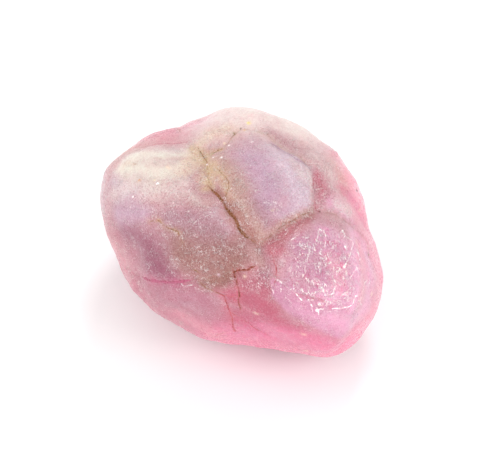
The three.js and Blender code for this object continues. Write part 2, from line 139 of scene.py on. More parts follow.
# thin healed cracks: name, half width, depth, core colour and strength, halo colour, radius and strength, [x, y, z, share]
CRACKS = [
    ("cleft", 0.19, 0.07, "COREBROWN", 1.0, "UMBER", 0.7, 1.0, [[-2.03, -4.33, 11.03, 0.25], [-1.32, -4.67, 11.18, 0.5], [-0.77, -4.89, 11.28, 1.3], [-0.23, -5.06, 11.36, 1.1], [0.55, -5.43, 11.41, 0.7], [1.2, -5.68, 11.43, 0.45], [1.75, -6.03, 11.36, 0.9], [2.54, -6.39, 11.25, 1.2], [3.35, -6.69, 11.1, 1.35], [3.97, -6.96, 10.92, 1.05], [4.64, -7.29, 10.66, 0.85], [5.36, -7.47, 10.43, 0.75], [6.1, -7.5, 10.25, 0.45], [6.79, -7.43, 10.12, 0.35]]),
    ("cleft_top", 0.075, 0.08, "COREBROWN", 0.7, "IRON", 0.34, 0.7, [[-7.28, 0.72, 9.34, 0.5], [-6.22, 0.03, 9.68, 0.8], [-5.06, -0.72, 9.99, 0.9], [-4.15, -1.3, 10.23, 0.7], [-3.15, -2.47, 10.59, 0.4], [-2.49, -3.53, 10.88, 0.5], [-1.7, -4.25, 11.1, 0.5]]),
    ("cleft_side", 0.075, 0.08, "COREOLIVE", 0.7, "IRON", 0.42, 0.7, [[-2.43, -1.82, 10.8, 0.5], [-1.24, -2.35, 11.27, 0.8], [-0.03, -3.1, 11.64, 0.9], [0.61, -3.92, 11.71, 0.8], [0.93, -4.94, 11.58, 0.6], [1.95, -5.8, 11.45, 0.5]]),
    ("top_dark", 0.085, 0.09, "COREOLIVE", 0.95, "IRON", 0.3, 0.6, [[-4.48, -0.05, 10.17, 0.9], [-4.48, 0.5, 10.24, 1], [-4.35, 0.78, 10.34, 0.6], [-4.18, 1.09, 10.5, 1], [-3.93, 1.3, 10.68, 0.5]]),
    ("top_line", 0.07, 0.1, "COREOLIVE", 0.25, "IRON", 0.5, 0.5, [[-3.93, 1.3, 10.68, 0.6], [-3.84, 2.27, 11, 0.6], [-3.93, 3.31, 11.14, 0.9], [-3.79, 4.22, 11.21, 0.6], [-2.93, 4.69, 11.35, 0.4], [-1.61, 4.88, 11.39, 0.6], [-0.33, 5.15, 11.35, 0.7], [1.45, 5.07, 11.13, 0.8], [3.43, 4.69, 11.32, 0.7], [5.36, 4, 11.45, 0.7]]),
    ("top_violet", 0.1, 0.1, "VIOLETLINE", 0.6, "VIOLETLINE", 0.45, 0.6, [[0.29, 4.27, 11.57, 0.4], [1.25, 4.42, 11.43, 0.8], [2.65, 4.12, 11.49, 1], [4.12, 3.71, 11.7, 1], [5.24, 3.8, 11.56, 0.8], [6.19, 3.75, 11.44, 0.5]]),
    ("olive_left", 0.08, 0.07, "COREOLIVE", 0.75, "IRON", 0.36, 0.65, [[-4.96, -10.27, 8.17, 0.7], [-4.39, -10.03, 8.66, 1], [-3.6, -10.1, 8.73, 0.9], [-2.73, -10.21, 8.75, 0.9], [-2.08, -10.19, 8.85, 1], [-1.54, -10.19, 8.9, 0.8], [-1.03, -10.54, 8.52, 0.5], [-0.29, -10.83, 8.17, 0.3]]),
    ("left_mark", 0.085, 0.1, "COREOLIVE", 0.7, "IRON", 0.3, 0.5, [[-12.43, -4.84, 7.52, 0.8], [-11.94, -4.83, 7.95, 1], [-11.16, -4.85, 8.55, 0.6]]),
    ("left_lip", 0.05, 0.03, "IRON", 0.15, "IRON", 0.3, 0.2, [[-11.25, -4.82, 8.49, 0.5], [-9.51, -4.39, 9.58, 0.7], [-8.26, -3.71, 10.03, 0.7], [-7.15, -2.49, 10.06, 0.6], [-6.39, -1.36, 9.85, 0.4]]),
    ("lip_pink", 0.09, 0.09, "CRACKPINK", 0.5, "CRACKPINK", 0.45, 0.55, [[-12.36, -2.31, 7.92, 0.4], [-11.89, -1.48, 8.14, 0.8], [-11.19, -0.77, 8.36, 0.9], [-10.36, -0.07, 8.52, 1], [-9.44, 0.53, 8.66, 0.9], [-8.7, 0.99, 8.81, 0.6]]),
    ("mid_brown", 0.09, 0.12, "COREOLIVE", 0.5, "HALOTAN", 0.5, 0.8, [[7.4, -7.02, 10.21, 0.6], [7.82, -5.99, 10.65, 0.8], [8.13, -4.99, 10.96, 1], [8.42, -3.95, 11.15, 1], [8.8, -2.67, 11.17, 0.9], [9.2, -1.41, 10.95, 0.9], [9.55, -0.24, 10.53, 0.7]]),
    ("mid_red", 0.09, 0.1, "CRACKPINK", 0.6, "CRACKPINK", 0.5, 0.6, [[8.14, -6.96, 10.01, 0.6], [8.57, -6.13, 10.33, 0.8], [8.91, -5.17, 10.62, 0.9], [9.08, -4.15, 10.82, 0.9], [9.28, -2.97, 10.89, 0.7], [9.59, -1.59, 10.69, 0.5]]),
    ("right_red", 0.09, 0.1, "CRACKRED", 0.6, "CRACKPINK", 0.4, 0.55, [[7.09, 3.03, 11.41, 0.5], [7.97, 2.16, 11.19, 0.8], [8.79, 1.2, 10.86, 1], [9.48, 0.41, 10.44, 1], [9.9, 0.57, 10.01, 1.1]]),
    ("right_brown", 0.08, 0.06, "COREOLIVE", 0.25, "HALOTAN", 0.5, 0.5, [[10.02, 0.76, 9.83, 0.5], [10.51, 1.57, 9.08, 0.7], [11.09, 2.27, 8.2, 0.9], [11.86, 3.08, 6.85, 1], [12.62, 3.74, 5.34, 0.9], [13.38, 4.03, 3.93, 0.8], [14.31, 3.4, 3.01, 0.6]]),
    ("low_dark", 0.12, 0.08, "CORERED", 1.0, "CRACKRED", 0.3, 0.7, [[7.67, -9, 8.41, 1.1], [7.47, -9.18, 8.28, 0.85], [7.2, -9.43, 8.05, 0.9], [6.78, -9.75, 7.78, 0.8], [6.24, -10.07, 7.48, 1], [5.98, -10.26, 7.25, 1.9], [6.05, -10.39, 6.93, 2.1], [6.29, -10.44, 6.65, 1.1], [6.6, -10.52, 6.12, 0.95], [6.89, -10.63, 5.27, 1.05], [6.92, -10.7, 4.69, 1], [6.85, -10.79, 3.89, 0.6], [7.03, -10.74, 3.13, 0.65], [7.17, -10.66, 2.32, 0.5]]),
    ("low_red", 0.1, 0.06, "CRACKRED", 0.85, "CRACKPINK", 0.42, 0.85, [[4.25, -11.69, 4.59, 0.4], [4.86, -11.53, 4.28, 0.7], [5.39, -11.36, 3.99, 0.9], [5.61, -11.34, 3.21, 1.2], [5.76, -11.31, 2.53, 1.1], [6.04, -11.19, 1.67, 0.7], [6.23, -11.06, 0.66, 0.9], [6.24, -10.98, -0.43, 1], [6.3, -10.84, -1.39, 1.1], [6.37, -10.68, -2.11, 1]]),
    ("low_branch", 0.07, 0.08, "CRACKRED", 0.75, "CRACKPINK", 0.22, 0.4, [[6.08, -11.16, 1.6, 0.5], [6.65, -10.86, 1.11, 0.8], [7.2, -10.58, 0.79, 0.85], [7.72, -10.34, 0.35, 0.8], [8.27, -10.09, -0.18, 1], [8.81, -9.83, -0.82, 0.9], [9.4, -9.55, -1.27, 0.6], [10.02, -9.3, -1.5, 0.7]]),
    ("low_bar", 0.08, 0.05, "CRACKRED", 0.75, "CRACKPINK", 0.28, 0.5, [[5.33, -11.37, 4.13, 0.8], [6.13, -11.03, 4.32, 1], [6.78, -10.75, 4.65, 0.9]]),
    ("low_mark", 0.07, 0.1, "COREOLIVE", 0.7, "HALOTAN", 0.25, 0.4, [[4.46, -11.41, -3.03, 1], [4.83, -11.3, -2.8, 0.8], [5.15, -11.2, -2.56, 0.6]]),
    ("red_down", 0.08, 0.08, "CRACKRED", 0.7, "CRACKPINK", 0.36, 0.7, [[8.55, -7, 9.84, 0.6], [9.05, -7.27, 9.48, 0.7], [9.44, -7.6, 9.08, 0.9], [9.67, -7.78, 8.85, 1.1], [10.11, -8.08, 8.38, 0.9], [10.22, -8.49, 7.88, 0.7], [10.3, -8.87, 7.32, 0.6]]),
    # the crease under the left hump: a deeper pink band, partly the stone's own pink and partly painted shade of the
    # crease
    ("crease_l", 0.22, 0.08, "CREASEPINK", 1.0, "CREASEPINK", 0.66, 1.0, [[-5.39, -12.33, 0.43, 0.6], [-3.78, -12.79, 1.69, 0.9], [-2.3, -12.93, 2.55, 1.1], [-0.86, -12.86, 3.42, 1.15], [0.57, -12.62, 4.21, 1], [1.56, -12.32, 4.79, 0.6]]),
    ("crease_r", 0.055, 0.07, "CRACKRED", 0.5, "HALOTAN", 0.3, 0.4, [[1.22, -12.4, 4.71, 0.6], [2.28, -12.04, 5.28, 0.8], [3.3, -11.63, 5.85, 0.7], [4.28, -11.17, 6.35, 0.6], [5.24, -10.69, 6.81, 0.5], [5.9, -10.33, 7.17, 0.6]]),
    ("crease_m", 0.075, 0.08, "COREOLIVE", 0.6, "HALOTAN", 0.22, 0.5, [[2.42, -12.05, 5.14, 0.6], [3.15, -11.98, 4.76, 0.9], [3.83, -11.84, 4.52, 0.9], [4.6, -11.62, 4.27, 0.9], [5.43, -11.32, 4.15, 0.8]]),
    ("low_corner", 0.08, 0.08, "COREOLIVE", 0.8, "HALOTAN", 0.2, 0.3, [[1.81, -11.74, 6.32, 0.8], [2.19, -11.72, 6.23, 1], [2.47, -11.74, 6.04, 0.5]]),
    ("lobe_fold", 0.12, 0.1, "CRACKPINK", 0.35, "CRACKPINK", 0.45, 0.4, [[12.62, -8.3, 6.76, 0.5], [13.57, -7.84, 6.65, 0.9], [14.56, -7.22, 6.42, 1], [15.32, -6.83, 5.92, 0.8], [15.93, -6.58, 5.27, 0.4]]),
    ("back_cleft", 0.1, 0.24, "COREBROWN", 0.9, "IRON", 0.38, 0.8, [[-4.24, 10.49, 7.63, 0.3], [-4.92, 11.6, 5.61, 0.8], [-4.98, 12.33, 3.31, 1], [-3.6, 12.55, 0.91, 1], [-2.46, 12.64, -1.35, 1], [-1.49, 12.15, -3.98, 0.8], [-1.53, 10.89, -6.35, 0.4]]),
    ("back_branch", 0.08, 0.12, "COREOLIVE", 0.7, "IRON", 0.36, 0.7, [[-4.73, 12.33, 3.54, 0.6], [-6.15, 11.57, 4.77, 0.9], [-7.58, 11.24, 4.4, 0.8], [-8.76, 10.08, 5.39, 0.9], [-10.44, 9.07, 4.23, 0.6], [-11.35, 7.66, 4.45, 0.9], [-12.83, 6.54, 3.33, 0.8], [-13.36, 5.4, 3.86, 0.4]]),
    ("back_fine", 0.06, 0.1, "CRACKRED", 0.7, "CRACKPINK", 0.34, 0.6, [[8.39, 10, -0.46, 0.5], [6.92, 10.65, -1.56, 0.9], [5.24, 11.23, -1.08, 0.8], [3.73, 11.49, -2.13, 1], [2.11, 11.95, -1.71, 0.7], [0.86, 12.27, -2.39, 0.9], [-0.22, 12.62, -1.55, 0.6]]),
    ("back_low", 0.06, 0.12, "CRACKRED", 0.6, "CRACKPINK", 0.25, 0.4, [[-14.22, -3.02, -6.47, 0.5], [-14.15, -0.49, -7.21, 0.9], [-13.18, 2.8, -7.78, 0.9], [-11.92, 5.81, -7.35, 0.6]]),
    ("back_side", 0.08, 0.14, "COREOLIVE", 0.7, "HALOTAN", 0.3, 0.5, [[-10.47, 2.23, 7.78, 0.4], [-12.18, 3.72, 6.21, 0.9], [-13.48, 5.45, 3.63, 0.9], [-13.65, 6.66, 0, 1], [-12.65, 7.6, -2.6, 0.6]]),
]
# glassy raised worms left by etching: whiteness of their painted highlight, half width, runs of [x, y, z]
WORMS = [
    (1.0, 0.07, [[13.09, 1.1, 6.74], [13.38, 1, 6.48], [13.89, -0.2, 6.75], [14.42, -1.44, 6.95], [14.62, -2.14, 7.07], [14.86, -2.59, 7]]),
    (0.9, 0.057, [[11.29, -1.21, 9.39], [11.72, -1.54, 9.18], [12.21, -1.99, 8.97], [12.54, -2.6, 8.89]]),
    (0.5, 0.066, [[11.99, 0.52, 8.14], [12.47, 0.59, 7.67], [12.9, 0.89, 7.07], [13.17, 1.31, 6.5]]),
    (0.8, 0.057, [[13.89, 1.39, 5.58], [14.32, 0.87, 5.46], [14.6, 0.86, 5.13], [15.12, 0.02, 5.19]]),
    (0.8, 0.066, [[15.12, -0.77, 5.8], [15.42, -1.63, 5.96], [15.58, -2.23, 6.05], [15.73, -2.82, 6.07]]),
    (1.0, 0.066, [[16.23, -6.44, 4.86], [16.65, -5.61, 4.56], [16.85, -4.86, 4.34], [16.91, -4.17, 4.25], [16.75, -3.85, 4.6], [16.66, -3.45, 4.72], [16.72, -3.06, 4.46]]),
    (1.0, 0.066, [[16.95, -3.24, 3.94], [17.09, -2.9, 3.32], [17.2, -2.65, 2.69], [17.22, -2.48, 2.44]]),
    (0.9, 0.057, [[16.25, 0.01, 3.41], [16.4, -0.8, 3.81], [16.6, -1.47, 3.86], [16.87, -2.22, 3.62], [17.02, -2.9, 3.56]]),
    (0.7, 0.049, [[16.19, 0.78, 2.69], [16.41, 0.27, 2.69], [16.52, -0.18, 2.87]]),
    (0.9, 0.049, [[14.96, -4.52, 7.19], [15.34, -4.82, 6.77], [15.41, -5.42, 6.58], [15.57, -5.51, 6.37], [15.49, -5.86, 6.33], [15.08, -6.51, 6.45]]),
    (0.9, 0.049, [[14.26, -5.83, 7.56], [14.58, -5.76, 7.31], [15, -5.77, 6.91], [15.12, -6.06, 6.66]]),
    (0.9, 0.066, [[12.41, -8.29, 6.92], [12.76, -8.27, 6.71], [13.01, -8.3, 6.46], [13.36, -8.25, 6.25]]),
    (0.9, 0.057, [[13.9, -7.87, 6.33], [14.29, -7.88, 5.93], [14.54, -7.91, 5.59], [14.75, -8.08, 4.99]]),
    (1.0, 0.082, [[14.95, -7.84, 5.15], [15.17, -7.69, 5.08], [15.31, -7.44, 5.26], [15.57, -7.26, 5.1]]),
    (1.0, 0.074, [[14.96, -7.67, 5.41], [15.23, -7.68, 5.02], [15.38, -7.78, 4.57]]),
    (0.7, 0.049, [[11.66, -6.58, 8.84], [11.99, -6.65, 8.64], [12.28, -6.7, 8.46]]),
    (0.9, 0.057, [[11.47, -3.91, 9.65], [11.73, -4.36, 9.48], [11.83, -4.81, 9.37]]),
    (0.8, 0.049, [[11.78, -3.59, 9.48], [12.11, -3.84, 9.29], [12.32, -4.23, 9.16]]),
    (0.8, 0.057, [[9.04, -4.18, 10.83], [9.04, -4.53, 10.75], [8.98, -5.17, 10.59]]),
    (0.34, 0.056, [[8.73, -5.55, 10.54], [8.67, -6, 10.36], [8.36, -6.47, 10.23]]),
    (0.8, 0.049, [[12.98, -4.51, 8.74], [13.44, -4.69, 8.43], [13.63, -5.32, 8.19]]),
    (0.6, 0.049, [[11.46, -4.92, 9.55], [11.91, -5.01, 9.29], [12.04, -5.55, 9.09]]),
    (0.6, 0.049, [[13.86, -3.35, 8.08], [14.39, -3.55, 7.66], [14.57, -4.16, 7.56]]),
    (0.8, 0.049, [[16.09, -4.9, 5.8], [16.11, -4.29, 5.79], [16.15, -3.31, 5.61]]),
    (0.7, 0.049, [[16.33, -4.85, 5.43], [16.33, -4.02, 5.44], [16.32, -3.08, 5.26]]),
    (0.6, 0.049, [[10.95, -1.56, 9.73], [11.23, -2.14, 9.66], [11.52, -2.67, 9.56]]),
    (0.8, 0.049, [[17.29, -3.82, 2.91], [17.19, -3.41, 3.19], [17.11, -3.2, 3.43]]),
    (0.3, 0.056, [[-3.18, -5.65, 10.92], [-3.16, -6.21, 10.89], [-2.55, -6.4, 10.91], [-2.34, -6.95, 10.82]]),
    (0.3, 0.056, [[-2.47, -6.87, 10.83], [-2.78, -7.25, 10.72], [-3.38, -7.6, 10.57], [-3.48, -7.83, 10.48]]),
    (0.23, 0.048, [[-3.29, -7.99, 10.43], [-2.73, -8.21, 10.36], [-2.38, -7.87, 10.53]]),
    (0.23, 0.048, [[-4.44, -5.56, 10.8], [-4.4, -5.09, 10.79], [-4.04, -4.94, 10.81]]),
    (0.23, 0.048, [[-1.69, -2.99, 11.08], [-0.67, -3.48, 11.4], [-0.28, -4.29, 11.44]]),
    (0.38, 0.048, [[6.88, 2.62, 11.64], [7.31, 2.35, 11.53], [7.77, 1.85, 11.42]]),
    (0.23, 0.048, [[5.31, 2.96, 11.89], [6.34, 2.8, 11.76], [6.87, 2.6, 11.65]]),
    (0.27, 0.048, [[1.54, -4.53, 11.77], [2.36, -4.75, 11.8], [3.1, -5.22, 11.69]]),
    (0.27, 0.048, [[3.42, -4.4, 11.95], [4.14, -4.51, 11.9], [4.69, -5.07, 11.67]]),
    (0.23, 0.04, [[6.49, -2.53, 12.12], [6.9, -2.74, 11.96], [7.07, -3.15, 11.82]]),
    (0.3, 0.048, [[0.38, -1.59, 11.98], [0.87, -1.8, 12.09]]),
    (0.23, 0.048, [[4.33, 7.17, 9.92], [4.86, 7.16, 9.87]]),
    (0.23, 0.04, [[7.05, 10.43, 5.56], [7.75, 10.02, 5.09], [8.4, 9.68, 4.68]]),
    (0.19, 0.04, [[8.84, 5.65, 8.54], [9.71, 5.37, 7.92], [10.55, 4.75, 7.42]]),
    (0.23, 0.04, [[8.05, 6.21, 8.8], [8.66, 5.92, 8.49], [9.15, 5.6, 8.31]]),
    (0.34, 0.056, [[0.55, -12.68, 4], [0.86, -12.66, 3.88], [1.31, -12.55, 4.04], [1.85, -12.38, 4.35]]),
    (0.3, 0.056, [[2.27, -12.32, 4.21], [2.78, -12.2, 4.2], [3.17, -12.1, 4.14]]),
    (0.3, 0.048, [[3.32, -12.04, 4.27], [3.65, -11.96, 4.17]]),
    (0.15, 0.04, [[3.18, -11.65, 5.87], [3.74, -11.32, 6.36], [4.56, -11, 6.55]]),
    (0.19, 0.04, [[-6.29, -11.37, 3.5], [-5.53, -11.67, 3.14], [-4.89, -12, 2.91]]),
    (0.23, 0.048, [[-4.27, -12.07, 3.58], [-3.7, -12.28, 3.69], [-3.75, -12.42, 3.29]]),
    (0.3, 0.048, [[-7.9, -8.67, 8.83], [-8.1, -8.95, 8.46], [-8.37, -9.23, 7.97]]),
    (0.23, 0.04, [[-7.49, -7.94, 9.49], [-7.62, -8.49, 9.1], [-7.68, -8.78, 8.84]]),
    (0.5, 0.041, [[11.28, -8.43, 7.42], [11.67, -8.43, 7.19], [12.02, -8.37, 7.06]]),
    (0.6, 0.041, [[9.98, -3.4, 10.48], [9.85, -4.3, 10.44], [9.75, -5.08, 10.3]]),
    (0.55, 0.09, [[10.32, -8.63, 7.66], [10.62, -8.5, 7.67], [10.94, -8.51, 7.5]]),
    (0.5, 0.08, [[10.13, -9.25, 6.74], [10.4, -9.26, 6.53], [10.58, -9.33, 6.23]]),
    (0.45, 0.06, [[10.79, -8.82, 7.12], [11.17, -8.82, 6.89], [11.17, -8.99, 6.57]]),
    (0.35, 0.05, [[11.8, -8.97, 6.17], [12.28, -8.9, 5.94], [12.67, -8.91, 5.56]]),
]
# colour zones: colour, skin, strength, fall-off power, raggedness, runs of [x, y, z, radius]
ZONES = [
    ("CREST", "chalk", 0.85, 2, 1, [[1.4, 8, 9.7, 5.5], [-3.2, 8.9, 9.5, 5.5], [-7.9, 6.6, 8.6, 5.5]]),
    ("DUSTY", "dusty", 0.8, 2, 1, [[-8.1, 11.6, 0.5, 4.5], [-9, 10.7, 3.8, 4.5]]),
    ("MAUVE", "satin", 0.85, 2, 1, [[-16.3, 2.9, -1.5, 4.5], [-16.5, 0, 1.4, 4.5], [-15.6, -1.4, 4.2, 4.5]]),
    ("PALE", "satin", 0.8, 2, 1, [[3.2, 11.9, 5, 3], [2.2, 12.6, 2.2, 3]]),
    ("LOBE", "etched", 0.85, 2, 1, [[13.9, 5.1, 1.3, 5], [10.2, 8.6, 2.4, 5], [8.4, 10, -1.1, 5]]),
    ("SKIN", "dusty", 0.8, 2, 1, [[7.1, 8.4, 7.7, 4.5], [10.3, 5.9, 6.8, 4.5]]),
    ("HOT", "glass", 0.9, 2, 1, [[4.9, 8.5, -8.2, 5], [11.5, 4.2, -8.6, 5], [10.1, -3.7, -9, 5]]),
    ("ROSE", "gel", 0.8, 2, 1, [[-5.8, 10, -6.7, 5], [-11.2, 6.4, -7.4, 5], [-12.2, 0, -8.6, 5]]),
    ("CREAM", "chalk", 0.8, 2, 1, [[-4.2, 10.5, 7.6, 3.2], [-6, 11.2, 5.7, 3.2]]),
    ("GREYTAN", "dusty", 0.7, 2, 1, [[-12.6, 7.3, 2.6, 3], [-10.3, 8.7, 4.9, 3]]),
    ("SAND", "dusty", 0.6, 2, 1.6, [[-0.9, 9.9, 8.4, 3], [-4.1, 10.2, 8, 3.5], [-7.5, 9.6, 7, 3]]),
    ("LILAC", "satin", 0.7, 2, 1.6, [[-10.2, 5.9, 6.8, 4], [-13.2, 3.5, 5.5, 3.5]]),
    ("SALMON", "grit", 0.6, 2, 1.6, [[-2.2, 12.7, -0.5, 4], [-6.7, 11.7, -2.9, 3.5]]),
    ("MAUVE", "satin", 0.5, 2, 1.6, [[-10.9, 9.2, -2.5, 4], [-14.3, 5.8, -3.8, 4]]),
    ("OCHRE", "dusty", 0.6, 2, 1.2, [[-4.4, 11, 6.9, 1.6], [-4.7, 12.2, 4.2, 1.8], [-3.4, 12.6, 0.5, 1.4], [-7.5, 11.2, 4.6, 1.4]]),
    ("TAN", "dusty", 0.7, 2, 1, [[-2.2, 12.7, -1.1, 3], [-1.7, 12, -4.4, 3]]),
    ("PINKWHITE", "etched", 0.7, 2, 1, [[4.1, 11.3, -2.6, 3.5], [1, 12, -3.2, 3.5]]),
    ("CREST", "chalk", 0.95, 2, 0.5, [[-10.34, 4.97, 7.12, 3.94], [-9.81, 6.1, 7.11, 4.38], [-8.31, 7.6, 7.89, 5.04], [-5.99, 8.34, 9.05, 5.04], [-3.79, 8.66, 9.53, 4.6]]),
    ("CREST", "chalk", 0.7, 2, 0.5, [[-2.12, 9.33, 9.2, 3.94], [-1.15, 11.01, 7.2, 3.72], [1.82, 9.82, 8.4, 3.29]]),
    ("SALMON", "grit", 0.9, 2.4, 0.4, [[-13.31, -0.74, 7.03, 3.07], [-14.49, -2.67, 5.86, 3.94], [-15.75, -4.04, 3.48, 4.38], [-15.39, -5.84, 2.21, 4.6], [-14.49, -7.28, 0.47, 4.16], [-13.07, -8.34, -1.62, 3.94], [-11.4, -9.12, -2.77, 4.16]]),
    ("BLUSH", "grit", 0.9, 2.2, 0.4, [[-10.44, -9.49, -3.28, 4.6], [-8.49, -10.62, -3.89, 5.04], [-6.75, -10.98, -5.24, 5.26], [-4.46, -11.3, -6.05, 4.82], [-2.09, -11.19, -6.52, 4.16]]),
    ("BLUSH", "sheer", 0.95, 2.2, 0.4, [[-13.83, 1.18, 6.11, 2.96], [-12.33, 1.95, 6.89, 3.07], [-11.54, 3.64, 6.71, 2.96], [-10.7, 4.72, 6.94, 2.19]]),
    # painted glow: salmon pink along the thin right edge, standing for light through the stone
    ("RIM", "sheer", 0.97, 2.4, 0.4, [[7.91, 9, 5.81, 3.94], [9.78, 7.85, 5.16, 4.6], [10.97, 7.97, 2.69, 5.04], [12.56, 7.07, 1.29, 5.48], [13.87, 6.23, -0.55, 5.7], [14.98, 5.08, -2.06, 5.91], [15.98, 3.31, -3.36, 5.91], [16.6, 0.92, -4.16, 5.48], [16.75, -1.76, -4.29, 5.04]]),
    # painted glow: bright pink along the lower right edge, standing for light through the stone
    ("GLOW", "sheer", 0.7, 2.4, 0.3, [[11, 8.3, 2.9, 2.85], [12.62, 7.37, 1.55, 3.29], [13.93, 6.51, -0.26, 3.61], [15.11, 5.27, -1.97, 3.61], [16.16, 3.44, -3.37, 3.61], [16.84, 1.16, -4.23, 3.4], [17.15, -1.39, -4.36, 3.07]]),
    ("HOT", "glass", 0.97, 2.4, 0.5, [[4.17, -11.16, -4.02, 2.41], [6.66, -10.53, -2.12, 2.96], [9.23, -9.67, -0.93, 3.4], [12.44, -9.03, -0.24, 3.18], [15.34, -7.95, -0.56, 2.85], [16.95, -5.35, -2.55, 2.63]]),
    # painted glow: bright pink along the bottom edge, standing for light through the stone
    ("GLOW", "glass", 0.95, 2.4, 0.3, [[0.35, -10.8, -6.87, 1.75], [2.44, -10.33, -7.21, 2.85], [5.46, -9.27, -7.09, 3.72], [8.23, -8.26, -6.77, 4.16], [11.19, -7.17, -6.38, 4.16], [14.12, -6.08, -5.83, 3.94], [16.18, -4.88, -5.36, 3.61]]),
    ("SKIN", "dusty", 0.9, 2, 0.5, [[-0.58, 5.68, 11.19, 0.99], [1.47, 6.16, 10.65, 1.31], [3.81, 5.64, 10.87, 1.53], [6.07, 5.24, 10.79, 1.53], [7.25, 5.83, 9.91, 1.31]]),
    ("SALMON", "dusty", 0.6, 2, 0.5, [[6.52, 7.25, 9.43, 1.2], [7.87, 7.06, 8.22, 1.2], [9.08, 5.9, 8.14, 0.88]]),
    ("CREST", "dusty", 0.45, 2, 0.6, [[4.76, 5.98, 10.55, 0.66], [6.49, 5.39, 10.61, 0.88], [7.69, 5.39, 9.79, 0.77]]),
    ("CREST", "dusty", 0.9, 2, 0.5, [[-12.85, -4.03, 7.37, 1.31], [-10.58, -3.35, 9.06, 1.53], [-8.99, -2.22, 9.57, 1.53], [-7.75, -0.63, 9.44, 1.31]]),
    ("PALE", "grit", 0.65, 2, 0.5, [[-15.55, -4.88, 2.88, 2.96], [-14.34, -6.99, 2.65, 2.96]]),
    ("PALE", "dusty", 0.7, 2, 0.8, [[-12.66, -6.82, 6.28, 1.2], [-10.37, -8.14, 7.57, 1.2], [-8.59, -8.48, 8.6, 1.1], [-7.58, -8.18, 9.32, 0.88]]),
    ("CREST", "dusty", 0.6, 2, 0.8, [[-12.18, -7.83, 5.89, 0.77], [-10.14, -7.89, 7.97, 0.99], [-8.03, -8.13, 9.14, 0.88]]),
    ("SKIN", "dusty", 0.85, 2, 0.5, [[-6.33, -8.95, 9.26, 1.2], [-4.11, -8.32, 10.18, 1.31], [-2.97, -6.64, 10.84, 1.42], [-2.45, -4.84, 10.98, 1.1]]),
    # painted light: a cream band over the crease below the left lip, lifting its shade
    ("CREAM", "chalk", 0.85, 2, 0.6, [[-12.31, -3.99, 7.85, 0.88], [-10.09, -3.63, 9.32, 1.1], [-8.23, -2.85, 9.92, 0.99], [-6.96, -1.32, 9.76, 0.77]]),
    ("CREST", "dusty", 0.65, 2, 0.7, [[-7.14, -7.87, 9.66, 1.1], [-5.39, -6.96, 10.48, 1.2], [-4.35, -5.51, 10.81, 0.99]]),
    ("CREAM", "chalk", 0.85, 2, 0.9, [[-12.64, -5.39, 7.11, 1.1], [-9.99, -5.91, 9.02, 1.64], [-7.72, -5.66, 10.15, 1.86], [-6.31, -4.32, 10.51, 1.64], [-5.82, -2.12, 10.12, 0.99]]),
    ("SAND", "dusty", 0.85, 2, 0.5, [[-5.23, -3.98, 10.6, 0.88], [-5.88, -1.68, 10, 0.99], [-6.96, 0.84, 9.44, 1.1], [-6.34, 2.56, 9.75, 1.2], [-5.19, 3.57, 10.56, 0.99]]),
    ("MAUVE", "satin", 0.8, 2.2, 0.7, [[-8.53, -10.51, 4.62, 1.75], [-6.53, -10.97, 5.27, 2.41], [-4.69, -11.44, 5.35, 2.96], [-3, -12.1, 4.84, 2.96], [-1.96, -12.61, 4.24, 2.08], [-0.47, -12.65, 4.34, 1.31]]),
    ("MAUVE", "satin", 0.5, 2, 0.6, [[-3.63, -12.39, 3.51, 1.31], [-1.84, -12.6, 4.32, 1.31], [-0.56, -12.51, 4.8, 0.99]]),
    ("LILAC", "satin", 0.85, 2, 0.5, [[-10.33, -9.54, 5.44, 1.42], [-8.09, -9.91, 7.16, 1.2], [-5.98, -9.8, 8.5, 0.88]]),
    ("DUSTY", "dusty", 0.92, 2.2, 0.5, [[-3.14, -9.64, 9.32, 1.1], [-1.18, -9.42, 9.64, 1.75], [0.94, -8.9, 9.96, 1.75], [2.94, -8.94, 9.75, 1.31]]),
    ("GREYTAN", "dusty", 0.55, 1.6, 0.7, [[-1.05, -10.69, 8.33, 1.42], [1.13, -10.42, 8.6, 1.97], [3.02, -9.78, 8.98, 2.08], [4.77, -8.95, 9.41, 1.64]]),
    ("GREYTAN", "dusty", 0.75, 1.8, 0.7, [[-0.26, -11.42, 7.27, 1.53], [1.61, -11.45, 6.97, 2.19], [3.5, -10.98, 7.18, 2.3], [5.05, -10.06, 8.04, 1.97], [6.21, -9.15, 8.8, 1.42]]),
    ("GREYTAN", "dusty", 0.9, 2, 0.5, [[3.62, -11.71, 5.33, 0.88], [5.02, -11.1, 5.89, 0.99], [6.05, -10, 7.71, 0.88]]),
    ("TAN", "dusty", 0.45, 2, 0.5, [[-1.69, -6.94, 10.86, 0.88], [-0.23, -6.59, 11.03, 0.77]]),
    ("PALE", "dusty", 0.3, 2, 0.5, [[0.8, -7.09, 10.91, 0.66], [2.14, -7.49, 10.74, 0.66], [3.48, -7.89, 10.43, 0.55]]),
    ("GREYTAN", "dusty", 0.4, 2, 0.5, [[2.77, -5.13, 11.71, 0.66], [3.96, -5.86, 11.43, 0.66]]),
    ("LILAC", "satin", 0.95, 2.4, 0.5, [[-0.67, 1.39, 11.94, 1.97], [2.33, -0.2, 12.48, 2.41], [4.7, -1.68, 12.54, 2.19], [5.27, -3.55, 12.1, 1.53]]),
    ("DUSTY", "dusty", 0.85, 2, 0.5, [[4.08, -4.42, 11.93, 0.99], [5.8, -4.99, 11.55, 1.2], [7.26, -5.22, 11.14, 0.99]]),
    ("DUSTY", "satin", 0.7, 2, 0.5, [[0.71, 4.24, 11.56, 0.55], [2.65, 4.12, 11.49, 0.6], [4.19, 3.8, 11.67, 0.6], [5.47, 3.85, 11.51, 0.55]]),
    ("LILAC", "satin", 0.8, 2, 0.6, [[2.13, 4.11, 11.47, 0.88], [7.68, -1.84, 11.81, 0.88], [7.41, -3.27, 11.68, 0.88]]),
    ("PALE", "satin", 0.8, 2, 1.1, [[0.36, 2.9, 11.89, 0.77], [2.85, 2.36, 12.1, 1.31], [5.35, 1.24, 12.37, 1.64], [7.18, -0.05, 12.06, 1.53], [8.23, -1.51, 11.56, 0.99]]),
